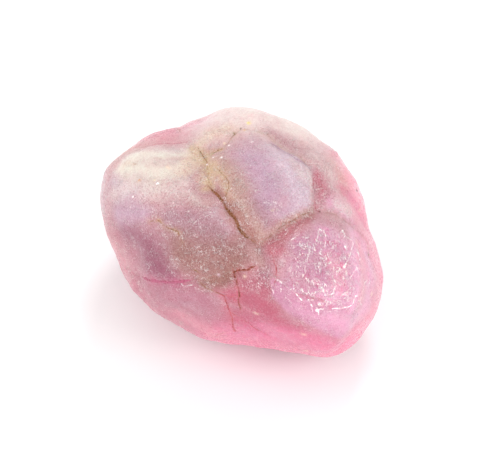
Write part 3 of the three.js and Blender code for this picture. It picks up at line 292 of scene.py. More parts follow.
    ("PALE", "dusty", 0.8, 2, 0.9, [[4.05, 3.62, 11.74, 0.55], [5.54, 3.01, 11.84, 0.77], [6.92, 2.16, 11.77, 0.71], [7.84, 0.69, 11.66, 0.66], [8.44, -0.71, 11.43, 0.55]]),
    ("CREST", "satin", 0.45, 2, 0.8, [[4.17, 2.9, 11.99, 0.66], [5.61, 2.54, 12, 0.77], [6.8, 1.96, 11.87, 0.55]]),
    ("CREST", "dusty", 0.55, 2, 0.3, [[5.58, 3.69, 11.56, 0.33], [6.7, 2.85, 11.63, 0.38], [7.77, 1.71, 11.47, 0.38], [8.54, 0.44, 11.23, 0.33]]),
    ("TAN", "dusty", 0.9, 2, 0.5, [[-3.05, -0.08, 10.74, 0.77], [-0.94, -1.5, 11.5, 0.99], [1.28, -2.91, 12.02, 0.99], [2.61, -4.56, 11.88, 0.99], [4.11, -5.53, 11.55, 0.99], [5.62, -6.18, 11.09, 0.88], [6.89, -6.5, 10.65, 0.66]]),
    ("OCHRE", "dusty", 0.9, 2, 0.9, [[-7.54, -0.02, 9.35, 0.66], [-5.9, -0.58, 9.8, 0.93], [-4.19, -1.61, 10.24, 1.2], [-2.62, -3, 10.79, 1.1], [-1.7, -4.6, 11.1, 0.66]]),
    ("CREST", "dusty", 0.5, 2, 0.8, [[-3.62, -6.84, 10.75, 0.66], [-2.69, -6.48, 10.89, 0.66], [-1.43, -6.94, 10.87, 0.55]]),
    ("SKIN", "dusty", 0.45, 2, 0.6, [[-2.38, 0.84, 11.31, 0.99], [-1.53, 1.85, 11.76, 1.1], [-0.15, 2.51, 11.91, 0.99]]),
    ("OCHRE", "dusty", 0.65, 2, 0.6, [[-4.69, -0.04, 10.11, 0.55], [-4.4, 0.67, 10.3, 0.55], [-3.96, 1.16, 10.63, 0.44]]),
    ("OCHRE", "dusty", 0.55, 2, 0.9, [[-2.75, -1.57, 10.67, 0.77], [-0.84, -2.89, 11.39, 0.82], [0.75, -4.16, 11.7, 0.71], [2.06, -5.23, 11.64, 0.55]]),
    ("UMBER", "dusty", 0.9, 3, 0.15, [[-0.35, -4.63, 11.39, 0.38], [1.39, -5.21, 11.58, 0.55], [2.77, -5.76, 11.5, 0.66], [4.12, -6.36, 11.2, 0.66], [5.35, -6.89, 10.77, 0.55], [6.66, -7.07, 10.38, 0.49], [7.63, -6.98, 10.16, 0.38]]),
    ("BRICK", "grit", 0.75, 2.2, 0.5, [[6.91, 3.85, 11.17, 0.55], [7.9, 3.19, 10.83, 0.88], [8.66, 2.5, 10.52, 0.88], [9.09, 1.7, 10.43, 0.44]]),
    ("HOT", "sheer", 0.55, 2, 0.4, [[8.87, 6, 8.24, 0.66], [9.75, 6.1, 7.27, 0.88], [10.78, 5.98, 6.1, 0.88], [11.69, 5.67, 5.03, 0.66], [12.44, 5.4, 3.97, 0.44]]),
    ("PINKWHITE", "dusty", 0.85, 2, 0.5, [[9.81, 2.37, 9.48, 0.88], [10.6, 3.14, 8.31, 0.99], [11.47, 3.44, 7.14, 0.88], [12.51, 3.32, 5.83, 0.55]]),
    ("CREST", "dusty", 0.6, 2, 0.5, [[10.08, 2.94, 8.96, 0.66], [10.89, 4.07, 7.47, 0.77]]),
    ("PINKWHITE", "sheer", 0.8, 2, 0.4, [[12.4, 3.08, 6.15, 0.88], [13.39, 3.23, 4.71, 1.1], [14.58, 2.5, 3.57, 1.31], [16.2, 0.56, 2.92, 1.42], [17.15, -1.49, 1.4, 1.42], [17.48, -4.01, 1.29, 1.31]]),
    ("LOBE", "etched", 0.97, 2.6, 0.4, [[10.96, -4.59, 9.86, 1.75], [12.31, -3.19, 9.13, 2.52], [14.55, -2.28, 7.19, 2.63], [13.84, -5.34, 8.03, 2.52], [11.91, -6.27, 8.88, 1.86], [15.92, -4.2, 6.07, 2.3], [14.31, -6.71, 7.07, 1.75]]),
    ("LOBE", "etched", 0.9, 2, 0.4, [[11.7, -8.12, 7.57, 0.88], [13.22, -8.07, 6.63, 1.1], [14.94, -7.21, 6.02, 1.2], [16.35, -5.88, 5.04, 1.2], [17.28, -4.18, 3.01, 1.31]]),
    ("TAN", "dusty", 0.2, 2, 0.4, [[10.27, 1.16, 9.46, 0.44], [11.11, 2.24, 8.2, 0.49], [11.96, 2.93, 6.81, 0.44]]),
    ("PINKWHITE", "etched", 0.75, 2, 0.5, [[10.85, -1.52, 9.79, 0.66], [11.96, -0.86, 8.78, 1.1], [13.05, -0.15, 7.54, 1.2], [14.21, -0.67, 6.71, 0.88]]),
    ("PINKWHITE", "etched", 0.55, 2, 0.6, [[12.68, -2.99, 8.87, 1.1], [14.36, -2.76, 7.52, 1.42], [15.46, -3.74, 6.62, 1.31], [15.27, -5.87, 6.58, 1.1]]),
    # painted light: salmon pink brightening the lobe's middle where it turns away from the lights
    ("RIM", "etched", 0.5, 2, 0.6, [[13.85, -3.16, 8.05, 0.99], [14.94, -3.02, 7.03, 1.2], [15.39, -4.58, 6.73, 0.99]]),
    # painted light: this pink-white strip and the salmon one under it, along the groove at the right edge, lift the
    # groove's shade
    ("PINKWHITE", "sheer", 0.85, 2, 0.6, [[12.63, 2.18, 6.51, 0.88], [13.89, 0.94, 5.93, 1.1], [15.42, -1.05, 5.62, 1.1], [16.43, -2.66, 4.92, 1.1], [16.97, -4.15, 4.1, 0.99]]),
    ("RIM", "sheer", 0.45, 1.8, 0.6, [[13.2, 2.71, 5.41, 0.88], [14.59, 1.3, 4.75, 1.1], [16.07, -0.64, 4.34, 1.1], [16.92, -2.19, 3.45, 0.99]]),
    ("PINKWHITE", "etched", 0.6, 2, 0.5, [[14.83, -7.06, 6.29, 0.88], [15.85, -5.76, 5.9, 1.1], [16.2, -3.48, 5.56, 0.99], [15.55, -1.24, 5.57, 0.66]]),
    ("VALLEY", "grit", 0.97, 2.2, 0.2, [[9.72, -0.66, 10.47, 0.44], [9.36, -2.54, 10.86, 0.66], [9.05, -4.11, 10.84, 0.77], [8.77, -5.52, 10.53, 0.88], [8.35, -6.72, 10.09, 0.88]]),
    ("TAN", "grit", 0.55, 2, 0.3, [[9.45, -0.1, 10.58, 0.38], [8.96, -1.81, 11.12, 0.38], [8.45, -3.27, 11.26, 0.42], [8.01, -4.64, 11.12, 0.44], [7.62, -5.9, 10.75, 0.49], [7.21, -6.94, 10.31, 0.55]]),
    ("ROSE", "grit", 0.85, 2, 0.5, [[7.85, -7.82, 9.49, 0.77], [8.76, -8.18, 8.84, 0.88], [9.16, -8.91, 7.86, 0.77]]),
    ("BRICK", "grit", 0.8, 2, 0.4, [[8.65, -7.14, 9.72, 0.6], [9.55, -6.42, 9.82, 0.55]]),
    ("TAN", "grit", 0.6, 2, 0.5, [[7.58, -8.16, 9.3, 0.77], [8.34, -8.5, 8.69, 0.66]]),
    ("UMBER", "grit", 0.6, 2, 0.3, [[6.68, -7.46, 10.12, 0.49], [7.33, -7.47, 9.93, 0.49]]),
    ("DEEP", "glass", 0.97, 2.6, 0.7, [[6.13, -11.03, 4.29, 1.31], [7.37, -10.56, 4.55, 1.86], [8.79, -10.18, 4.36, 2.41], [10.38, -9.85, 4, 1.75]]),
    ("DEEP", "glass", 0.7, 2, 0.5, [[6.46, -10.96, 1.24, 1.53], [8.39, -10.17, 1.18, 1.75], [10.95, -9.72, 2.09, 1.53], [13.21, -9.24, 2.42, 1.1]]),
    ("DEEP", "grit", 0.85, 2, 0.5, [[7.43, -10.1, 6.64, 0.99], [8.61, -9.75, 6.64, 1.1], [9.84, -9.48, 6.42, 0.99]]),
    ("LILAC", "dusty", 0.6, 2, 0.5, [[1.43, -12.75, 2.1, 1.2], [2.99, -12.34, 2.64, 0.99]]),
    ("GREYTAN", "dusty", 0.45, 2, 0.5, [[1.74, -12.4, 4.33, 0.77], [2.85, -12.11, 4.51, 0.77], [3.84, -11.85, 4.45, 0.66]]),
    ("MAUVE", "satin", 0.25, 2, 0.5, [[-1.32, -13, 2.4, 0.66], [0.2, -12.86, 3.34, 0.66]]),
    ("HOT", "glass", 0.7, 2, 0.4, [[9.35, -9.85, 0.53, 0.88], [10.96, -9.53, 0.72, 1.1], [12.83, -9.24, 1.29, 0.99], [14.33, -8.78, 1.24, 0.77]]),
    ("ROSE", "gel", 0.95, 2.2, 0.5, [[-1.56, -13.08, 1.28, 1.42], [0.3, -13.04, 1.74, 1.86], [2.1, -12.58, 2.24, 1.97], [3.85, -12.07, 2.67, 1.53], [2.14, -12.42, 3.8, 0.99]]),
    ("BLUSH", "gel", 0.75, 2, 0.5, [[-0.32, -12.33, -2.34, 1.53], [1.82, -12.3, -2, 1.75], [3.45, -11.97, -2.35, 1.75], [4.4, -11.1, -3.91, 1.31]]),
    ("LOBE", "satin", 0.97, 14, 0.3, [[10.45, -8.8, 7.35, 0.6], [11.2, -9.03, 6.46, 1.1], [12.67, -8.91, 5.56, 1.37], [14.5, -8.37, 4.69, 1.26], [16.12, -7.52, 3.49, 1.31], [17.23, -6.09, 1.68, 0.99]]),
    ("MAUVE", "satin", 0.11, 5, 0.5, [[11.14, -8.95, 6.67, 0.93], [12.52, -8.88, 5.76, 1.1], [13.89, -8.6, 4.97, 0.99]]),
    ("PINKWHITE", "satin", 0.4, 2, 0.6, [[13.41, -8.67, 5.37, 0.88], [15.05, -8.05, 4.59, 0.88]]),
    ("PINKWHITE", "gel", 0.6, 2, 0.4, [[16.45, -6.9, 3.79, 1.1], [17.28, -5.45, 2.42, 1.1]]),
]
# specks: palette name, radius, [x, y, z]; the WHITE ones are painted glints
SPECKS = [
    ("YELLOW", 0.22, [-3.49, 5.45, 11.12]),
    ("ORANGE", 0.18, [-3.23, 4.33, 11.35]),
    ("DARK", 0.12, [-3.88, 4.45, 11.18]),
    ("BROWN", 0.22, [-3.98, 3.42, 11.13]),
    ("BROWN", 0.12, [-0.84, 5.44, 11.27]),
    ("DARK", 0.11, [9.9, 0.62, 9.99]),
    ("DARK", 0.08, [9.23, 7.79, 6.02]),
    ("ORANGE", 0.18, [-9.04, -6.98, 9.19]),
    ("PALEYELLOW", 0.24, [-6.97, -4.52, 10.41]),
    ("DARK", 0.09, [2.01, -11.75, 6.22]),
    ("PALEYELLOW", 0.2, [14.03, -8.91, 1.51]),
    ("BROWN", 0.09, [14, -8.85, 1]),
    ("PALEYELLOW", 0.15, [13.65, -7.92, -2.54]),
    ("PALEWHITE", 0.22, [2.87, 2.25, 12.13]),
    ("BROWN", 0.12, [14.31, 3.4, 3.01]),
    ("PALEYELLOW", 0.14, [6.41, -3.68, 11.86]),
    ("WHITE", 0.16, [15.12, -7.71, 5.14]),
    ("PALEYELLOW", 0.18, [13.35, 2.01, 5.77]),
    ("PALEYELLOW", 0.24, [16.74, 0.14, 1.36]),
    ("PALEYELLOW", 0.2, [17.44, -3.1, 0.85]),
    ("PALEYELLOW", 0.2, [7.15, -9.9, 7.31]),
    ("PALEWHITE", 0.18, [4.46, -11.05, 6.52]),
    ("WHITE", 0.14, [12.02, 0.65, 8.04]),
    ("WHITE", 0.14, [14.75, -2.41, 7.05]),
    ("WHITE", 0.18, [14.16, 1.04, 5.52]),
    ("WHITE", 0.15, [15.28, -0.85, 5.65]),
    ("PALEWHITE", 0.18, [11.03, -7.38, 8.6]),
    ("PALEWHITE", 0.2, [10.02, -7.23, 9.14]),
    ("PALEYELLOW", 0.2, [8.79, -10.17, 2.66]),
    ("WHITE", 0.16, [-3.42, 1.7, 11.06]),
    ("WHITE", 0.16, [-6.66, -6.88, 10.2]),
    ("PALEYELLOW", 0.16, [-7.24, -6.65, 10.09]),
    ("WHITE", 0.16, [-1.02, 2.61, 11.81]),
    ("PALEYELLOW", 0.2, [-3.38, -3.23, 10.66]),
    ("WHITE", 0.14, [-3.9, -1.65, 10.31]),
    ("WHITE", 0.1, [0.74, -8.9, 9.98]),
    ("WHITE", 0.08, [-4.3, -10.83, 7.35]),
    ("WHITE", 0.12, [-8.39, -8.75, 8.49]),
    ("WHITE", 0.13, [-3.73, -0.61, 10.37]),
    ("WHITE", 0.14, [-2.72, -0.53, 10.8]),
    ("PALEYELLOW", 0.16, [-4.17, 1.81, 10.71]),
    ("DARK", 0.07, [9.53, -7.73, 8.94]),
    ("PALEYELLOW", 0.2, [13.78, -7.91, -2.46]),
    ("WHITE", 0.12, [13.33, -0.45, 7.45]),
    ("PALEYELLOW", 0.14, [10.98, 6.09, 5.72]),
]
# knobs standing out of the skin: height, radius, [x, y, z]
KNOBS = [
    (0.42, 0.45, [5.2, 9.47, 8.08]),
    (0.18, 0.35, [15.16, -7.67, 5.13]),
    (0.16, 0.3, [14.66, -2.25, 7.07]),
    (0.12, 0.3, [11.99, 0.7, 8.05]),
    (0.12, 0.3, [14.23, 0.84, 5.6]),
    (0.12, 0.28, [15.23, -1.16, 5.92]),
]
# where short etch ridges gather off the glossy skin: middle, radius, weight
GATHERED = [
    ([4.54, 3.68, 11.69], 1.6, 0.1),
    ([6.59, 4.5, 11.01], 1.8, 0.16),
    ([8.9, 4.61, 9.22], 1.8, 0.16),
    ([10.22, 3.49, 8.55], 1.4, 0.14),
    ([-3.47, -6.15, 10.86], 1.5, 0.12),
    ([-6.39, -8.15, 9.78], 1.6, 0.08),
    ([-8.39, -8.75, 8.49], 1.4, 0.1),
    ([1.69, -4.73, 11.74], 1.6, 0.1),
    ([6.94, -6.57, 10.6], 1.2, 0.1),
    ([10.06, -7.3, 9.07], 1.3, 0.14),
    ([-2.95, 4.9, 11.31], 1.6, 0.08),
    ([1.37, -11.86, 6.19], 1.8, 0.06),
    ([3.41, -11.98, 4.44], 1.3, 0.08),
    ([7.42, 1.09, 11.81], 1.2, 0.12),
]

# the stone's colours, sRGB
PALETTE = {
    "SKIN": (209, 163, 168),
    "ROSE": (174, 107, 126),
    "HOT": (213, 113, 148),
    "CREST": (239, 221, 215),
    "CREAM": (232, 227, 211),
    "SAND": (240, 216, 194),
    "PALE": (217, 196, 210),
    "SALMON": (228, 172, 163),
    "BLUSH": (219, 138, 156),
    "LILAC": (196, 159, 181),
    "MAUVE": (140, 49, 88),
    "DUSTY": (180, 133, 148),
    "TAN": (198, 160, 149),
    "GREYTAN": (147, 89, 75),
    "OCHRE": (223, 193, 152),
    "BRICK": (200, 101, 123),
    "VALLEY": (188, 104, 113),
    # painted light: the salmon pink of the glowing edges and of lifted shade
    "RIM": (253, 178, 195),
    "LOBE": (203, 137, 167),
    "PINKWHITE": (235, 172, 202),
    "DEEP": (178, 75, 102),
    # painted glow: the bright pink of light passing through the stone's lower edges
    "GLOW": (234, 132, 163),
    "UMBER": (175, 117, 106),
    "IRON": (198, 158, 110),
    "HALOTAN": (196, 150, 134),
    "CRACKPINK": (204, 118, 132),
    # the crease's pink, partly painted shade
    "CREASEPINK": (190, 92, 126),
    "CRACKRED": (200, 84, 94),
    "COREBROWN": (158, 94, 38),
    "COREOLIVE": (172, 122, 76),
    "CORERED": (160, 70, 46),
    "VIOLETLINE": (184, 150, 170),
    # white of the etched grain and of painted glints and highlights
    "GRAIN": (255, 246, 244),
    "YELLOW": (240, 226, 110),
    "PALEYELLOW": (244, 222, 196),
    "ORANGE": (226, 166, 100),
    "DARK": (96, 76, 66),
    "BROWN": (150, 116, 78),
    # painted glints
    "WHITE": (255, 240, 242),
    "PALEWHITE": (230, 202, 213),
}


def lin(c):
    c = np.asarray(c, float) / 255.0
    return np.where(c <= 0.04045, c / 12.92, ((c + 0.055) / 1.055) ** 2.4)


# ------------------------------------------------------------------ noise
def _hash(i, seed):
    h = (i[:, 0].astype(np.uint64) * np.uint64(73856093)) ^ (i[:, 1].astype(np.uint64) * np.uint64(19349663)) ^ (i[:, 2].astype(np.uint64) * np.uint64(83492791)) ^ np.uint64(seed * 2654435761 & 0xFFFFFFFF)
    h = (h ^ (h >> np.uint64(15))) * np.uint64(2246822519) & np.uint64(0xFFFFFFFF)
    h = (h ^ (h >> np.uint64(13))) * np.uint64(3266489917) & np.uint64(0xFFFFFFFF)
    return h ^ (h >> np.uint64(16))


def noise(P, scale, seed=0):
    """Gradient noise of one wavelength, in mm, about -1 to 1."""
    Q = P / scale + 311.7
    i0 = np.floor(Q).astype(np.int64)
    f = Q - i0
    u = f * f * f * (f * (f * 6 - 15) + 10)
    out = np.zeros(len(P))
    for dx in (0, 1):
        for dy in (0, 1):
            for dz in (0, 1):
                h = _hash(i0 + np.array([dx, dy, dz]), seed)
                g = np.stack([(h & np.uint64(1023)).astype(float), ((h >> np.uint64(10)) & np.uint64(1023)).astype(float), ((h >> np.uint64(20)) & np.uint64(1023)).astype(float)], -1) / 511.5 - 1
                w = (u[:, 0] if dx else 1 - u[:, 0]) * (u[:, 1] if dy else 1 - u[:, 1]) * (u[:, 2] if dz else 1 - u[:, 2])
                out += w * ((f - np.array([dx, dy, dz])) * g).sum(-1)
    return out * 1.35


def fbm(P, scale, octaves, seed=0, gain=0.5):
    s, a, t = 0, 1.0, 0
    for k in range(octaves):
        s = s + a * noise(P, scale / 2 ** k, seed + k)
        t += a
        a *= gain
    return s / t


def smooth(a, b, x):
    t = np.clip((x - a) / (b - a), 0, 1)
    return t * t * (3 - 2 * t)


def run_distance(P, L, values=0):
    """Nearest distance from each point to a run, and the run's values there."""
    L = np.asarray(L, float)
    best = np.full(len(P), 1e9)
    vals = np.zeros((len(P), values))
    if len(L) == 1:
        return np.linalg.norm(P - L[0, :3], axis=1), np.tile(L[0, 3:3 + values], (len(P), 1))
    for a, b in zip(L[:-1], L[1:]):
        ab = b[:3] - a[:3]
        t = np.clip(((P - a[:3]) @ ab) / max(ab @ ab, 1e-12), 0, 1)
        d = np.linalg.norm(P - a[:3] - t[:, None] * ab, axis=1)
        m = d < best
        best[m] = d[m]
        if values:
            vals[m] = a[3:3 + values] + (b[3:3 + values] - a[3:3 + values]) * t[m, None]
    return best, vals


def near(P, L, reach):
    """Indices of the points within reach of a run's box."""
    L = np.asarray(L, float)[:, :3]
    return np.flatnonzero(((P > L.min(0) - reach) & (P < L.max(0) + reach)).all(1))


# ------------------------------------------------------------------ the skin
def broad(U):
    """The swollen body with its lobes, girdle, grooves and slow undulations: the CAD solid's own form."""
    r = (np.abs(U / HALF) ** FULLNESS).sum(-1) ** (-1 / FULLNESS)
    P = U * r[:, None]
    rise = np.zeros(len(U))
    for x, y, z, h, s in LOBES:
        rise += h * np.exp(-((P - np.array([x, y, z])) ** 2).sum(-1) / (2 * s * s))
    r = r + rise
    ang = np.arctan2(U @ GIRDLE_UP, U @ GIRDLE_RIGHT)
    away = np.sqrt(np.maximum(1 - (U @ GIRDLE_AXIS) ** 2, 0))
    share = np.zeros(len(U))
    for n, (a, b) in enumerate(GIRDLE):
        start = min(0.62, 0.06 * n)
        share += (a * np.cos(n * ang) + b * np.sin(n * ang)) * smooth(start, 0.93, away)
    r = r * (1 + share)
    P = U * r[:, None]
    acc = np.zeros(len(U))
    for run in GROOVES:
        i = near(P, run, 7.0)
        d, v = run_distance(P[i], run, 2)
        g = v[:, 0] * (0.45 * np.exp(-(d / (v[:, 1] * 2.1)) ** 2) + 0.55 * np.exp(-(d / (v[:, 1] * 0.62)) ** 1.4))
        acc[i] += g ** 4
    wave = np.zeros(len(U))
    for kx, ky, kz, ph, a in WAVES:
        wave += a * np.cos(P[:, 0] * kx + P[:, 1] * ky + P[:, 2] * kz + ph)
    return r - acc ** 0.25 + wave, P


def cube_sphere(n):
    t = np.tan(np.linspace(-math.pi / 4, math.pi / 4, n + 1))
    pts, quads = [], []
    faces = [((1, 0, 0), (0, 1, 0), (0, 0, 1)), ((-1, 0, 0), (0, 0, 1), (0, 1, 0)), ((0, 1, 0), (0, 0, 1), (1, 0, 0)),
             ((0, -1, 0), (1, 0, 0), (0, 0, 1)), ((0, 0, 1), (1, 0, 0), (0, 1, 0)), ((0, 0, -1), (0, 1, 0), (1, 0, 0))]
    for f, (c, a, b) in enumerate(faces):
        c, a, b = map(np.array, (c, a, b))
        pts.append((c + t[:, None, None] * a + t[None, :, None] * b).reshape(-1, 3))
        i = np.arange(n)[:, None] * (n + 1) + np.arange(n)[None, :]
        quads.append(np.stack([i, i + n + 1, i + n + 2, i + 1], -1).reshape(-1, 4) + f * (n + 1) ** 2)
    P = np.concatenate(pts)
    Q = np.concatenate(quads)
    _, idx, inv = np.unique(np.round(P * 1e6).astype(np.int64), axis=0, return_index=True, return_inverse=True)
    P, Q = P[idx], inv.reshape(-1)[Q]
    P = P / np.linalg.norm(P, axis=1, keepdims=True)
    # alternate the diagonals so that no direction shows
    m = (np.arange(len(Q)) + np.arange(len(Q)) // n) % 2 == 0
    A = np.where(m[:, None], Q[:, [0, 1, 2]], Q[:, [0, 1, 3]])
    B = np.where(m[:, None], Q[:, [0, 2, 3]], Q[:, [1, 2, 3]])
    return P, np.concatenate([A, B])


def split_edges(U, T, wanted):
    """Splits each wanted edge at its middle; wanted(midpoints' directions, edge ends) gives a mask. Stays conforming."""
    E = np.sort(np.concatenate([T[:, [0, 1]], T[:, [1, 2]], T[:, [2, 0]]]), axis=1)
    key = E[:, 0].astype(np.int64) * (len(U) + 1) + E[:, 1]
    uk, first, inv = np.unique(key, return_index=True, return_inverse=True)
    inv = inv.reshape(-1)
    e = E[first]
    m = wanted(e)
    new = np.full(len(uk), -1)
    new[m] = len(U) + np.arange(m.sum())
    M = U[e[m, 0]] + U[e[m, 1]]
    U2 = np.concatenate([U, M / np.linalg.norm(M, axis=1, keepdims=True)])
    n = len(T)
    k = new[inv].reshape(3, n).T  # the new vertex on edges 01, 12, 20
    cnt = (k >= 0).sum(1)
    out = [T[cnt == 0]]
    for c in (1, 2, 3):
        s = np.flatnonzero(cnt == c)
        if not len(s):
            continue
        t, q = T[s], k[s]
        if c == 3:
            out += [np.stack([t[:, 0], q[:, 0], q[:, 2]], 1), np.stack([q[:, 0], t[:, 1], q[:, 1]], 1), np.stack([q[:, 2], q[:, 1], t[:, 2]], 1), q]
            continue
        # turn the triangle so that the split edge (c = 1) or the whole edge (c = 2) is edge 0-1
        r = np.argmax(q >= 0, axis=1) if c == 1 else np.argmax(q < 0, axis=1)
        idx = (r[:, None] + np.arange(3)) % 3
        t = np.take_along_axis(t, idx, 1)
        q = np.take_along_axis(q, idx, 1)
        if c == 1:
            out += [np.stack([t[:, 0], q[:, 0], t[:, 2]], 1), np.stack([q[:, 0], t[:, 1], t[:, 2]], 1)]
        else:
            out += [np.stack([q[:, 1], t[:, 2], q[:, 2]], 1), np.stack([t[:, 0], t[:, 1], q[:, 1]], 1), np.stack([t[:, 0], q[:, 1], q[:, 2]], 1)]
    return U2, np.concatenate(out)


def feature_distance(P):
    """Distance from each point to the nearest crack or worm, where that is under 1.2 mm."""
    best = np.full(len(P), 9.0)
    for run in [c[8] for c in CRACKS] + [w[2] for w in WORMS]:
        i = near(P, run, 1.2)
        d, _ = run_distance(P[i], run)
        best[i] = np.minimum(best[i], d)
    return best


def stone_mesh(n):
    U, T = cube_sphere(n)
    for length, reach in ((0.17, 0.34), (0.095, 0.16)):
        r, P = broad(U)

        def wanted(e):
            L = np.linalg.norm(P[e[:, 0]] - P[e[:, 1]], axis=1)
            return (L > length) & (feature_distance((P[e[:, 0]] + P[e[:, 1]]) / 2) < reach + L / 2) & (P[e, 2].max(1) > -HEART[2] - 0.2)

        U, T = split_edges(U, T, wanted)
    return U, T


def mix(a, b, w):
    return a + (b - a) * w[:, None]


def zone_marks(P, warp):
    """The zones' colour, and how clear, frosted, glossy and grainy the stone is there."""
    low = smooth(-3.5, -9.5, P[:, 2])
    tone = np.tile(lin(PALETTE["ROSE"]), (len(P), 1))
    tone = mix(tone, lin(PALETTE["SKIN"]), smooth(-2.0, 8.0, P[:, 2]) * 0.75)
    tone = mix(tone, lin(PALETTE["HOT"]), low * 0.95)
    marks = np.stack([0.15 + 0.75 * low, 0.75 - 0.55 * low, 0.1 + 0.25 * low, 0.6 - 0.45 * low], -1)
    for name, skin, strength, power, rag, run in ZONES:
        d, v = run_distance(P + warp * rag, run, 1)
        w = strength * np.exp(-(d / v[:, 0]) ** power)
        tone = mix(tone, lin(PALETTE[name]), w)
        marks = mix(marks, np.array(SKINS[skin]), w)
    return tone, marks


def scatter_worms(count, seed):
    """Short curled etch ridges, thickest where the skin is glossy: added to the measured ones."""
    rng = np.random.default_rng(seed)
    U, _ = cube_sphere(40)
    r, P = broad(U)
    _, marks = zone_marks(P, 0 * P)
    w = np.clip(marks[:, 2] - 0.35, 0, 1) ** 1.5 * (P[:, 2] > -7) + 0.02 * marks[:, 3] * (P[:, 2] > -6)
    for spot, radius, weight in GATHERED:
        w += weight * np.exp(-((P - np.array(spot)) ** 2).sum(-1) / (radius * radius))
    at = rng.choice(len(U), count, p=w / w.sum())
    u = U[at] + rng.normal(0, 0.012, (count, 3))
    u /= np.linalg.norm(u, axis=1, keepdims=True)
    g = marks[at, 2]
    head = rng.normal(0, 1, (count, 3))
    steps = rng.integers(3, 8, count)
    bend = rng.normal(0, 0.35, count)
    runs = [[] for _ in range(count)]
    for k in range(9):
        r, P = broad(u)
        for i in range(count):
            if k < steps[i]:
                runs[i].append([*P[i]])
        head -= (head * u).sum(1, keepdims=True) * u
        head /= np.linalg.norm(head, axis=1, keepdims=True)
        turn = bend + rng.normal(0, 0.45, count)
        side = np.cross(u, head)
        head = head * np.cos(turn)[:, None] + side * np.sin(turn)[:, None]
        u = u + head * (0.14 / np.linalg.norm(P, axis=1))[:, None]
        u /= np.linalg.norm(u, axis=1, keepdims=True)
    # how strongly each worm's crest is painted white as a highlight
    glint_white = np.clip(0.15 + 0.85 * rng.random(count) ** 1.6 * (0.35 + g), 0, 1)
    wide = 0.019 + 0.020 * rng.random(count)
    return [(float(glint_white[i]), float(wide[i]), runs[i]) for i in range(count)]


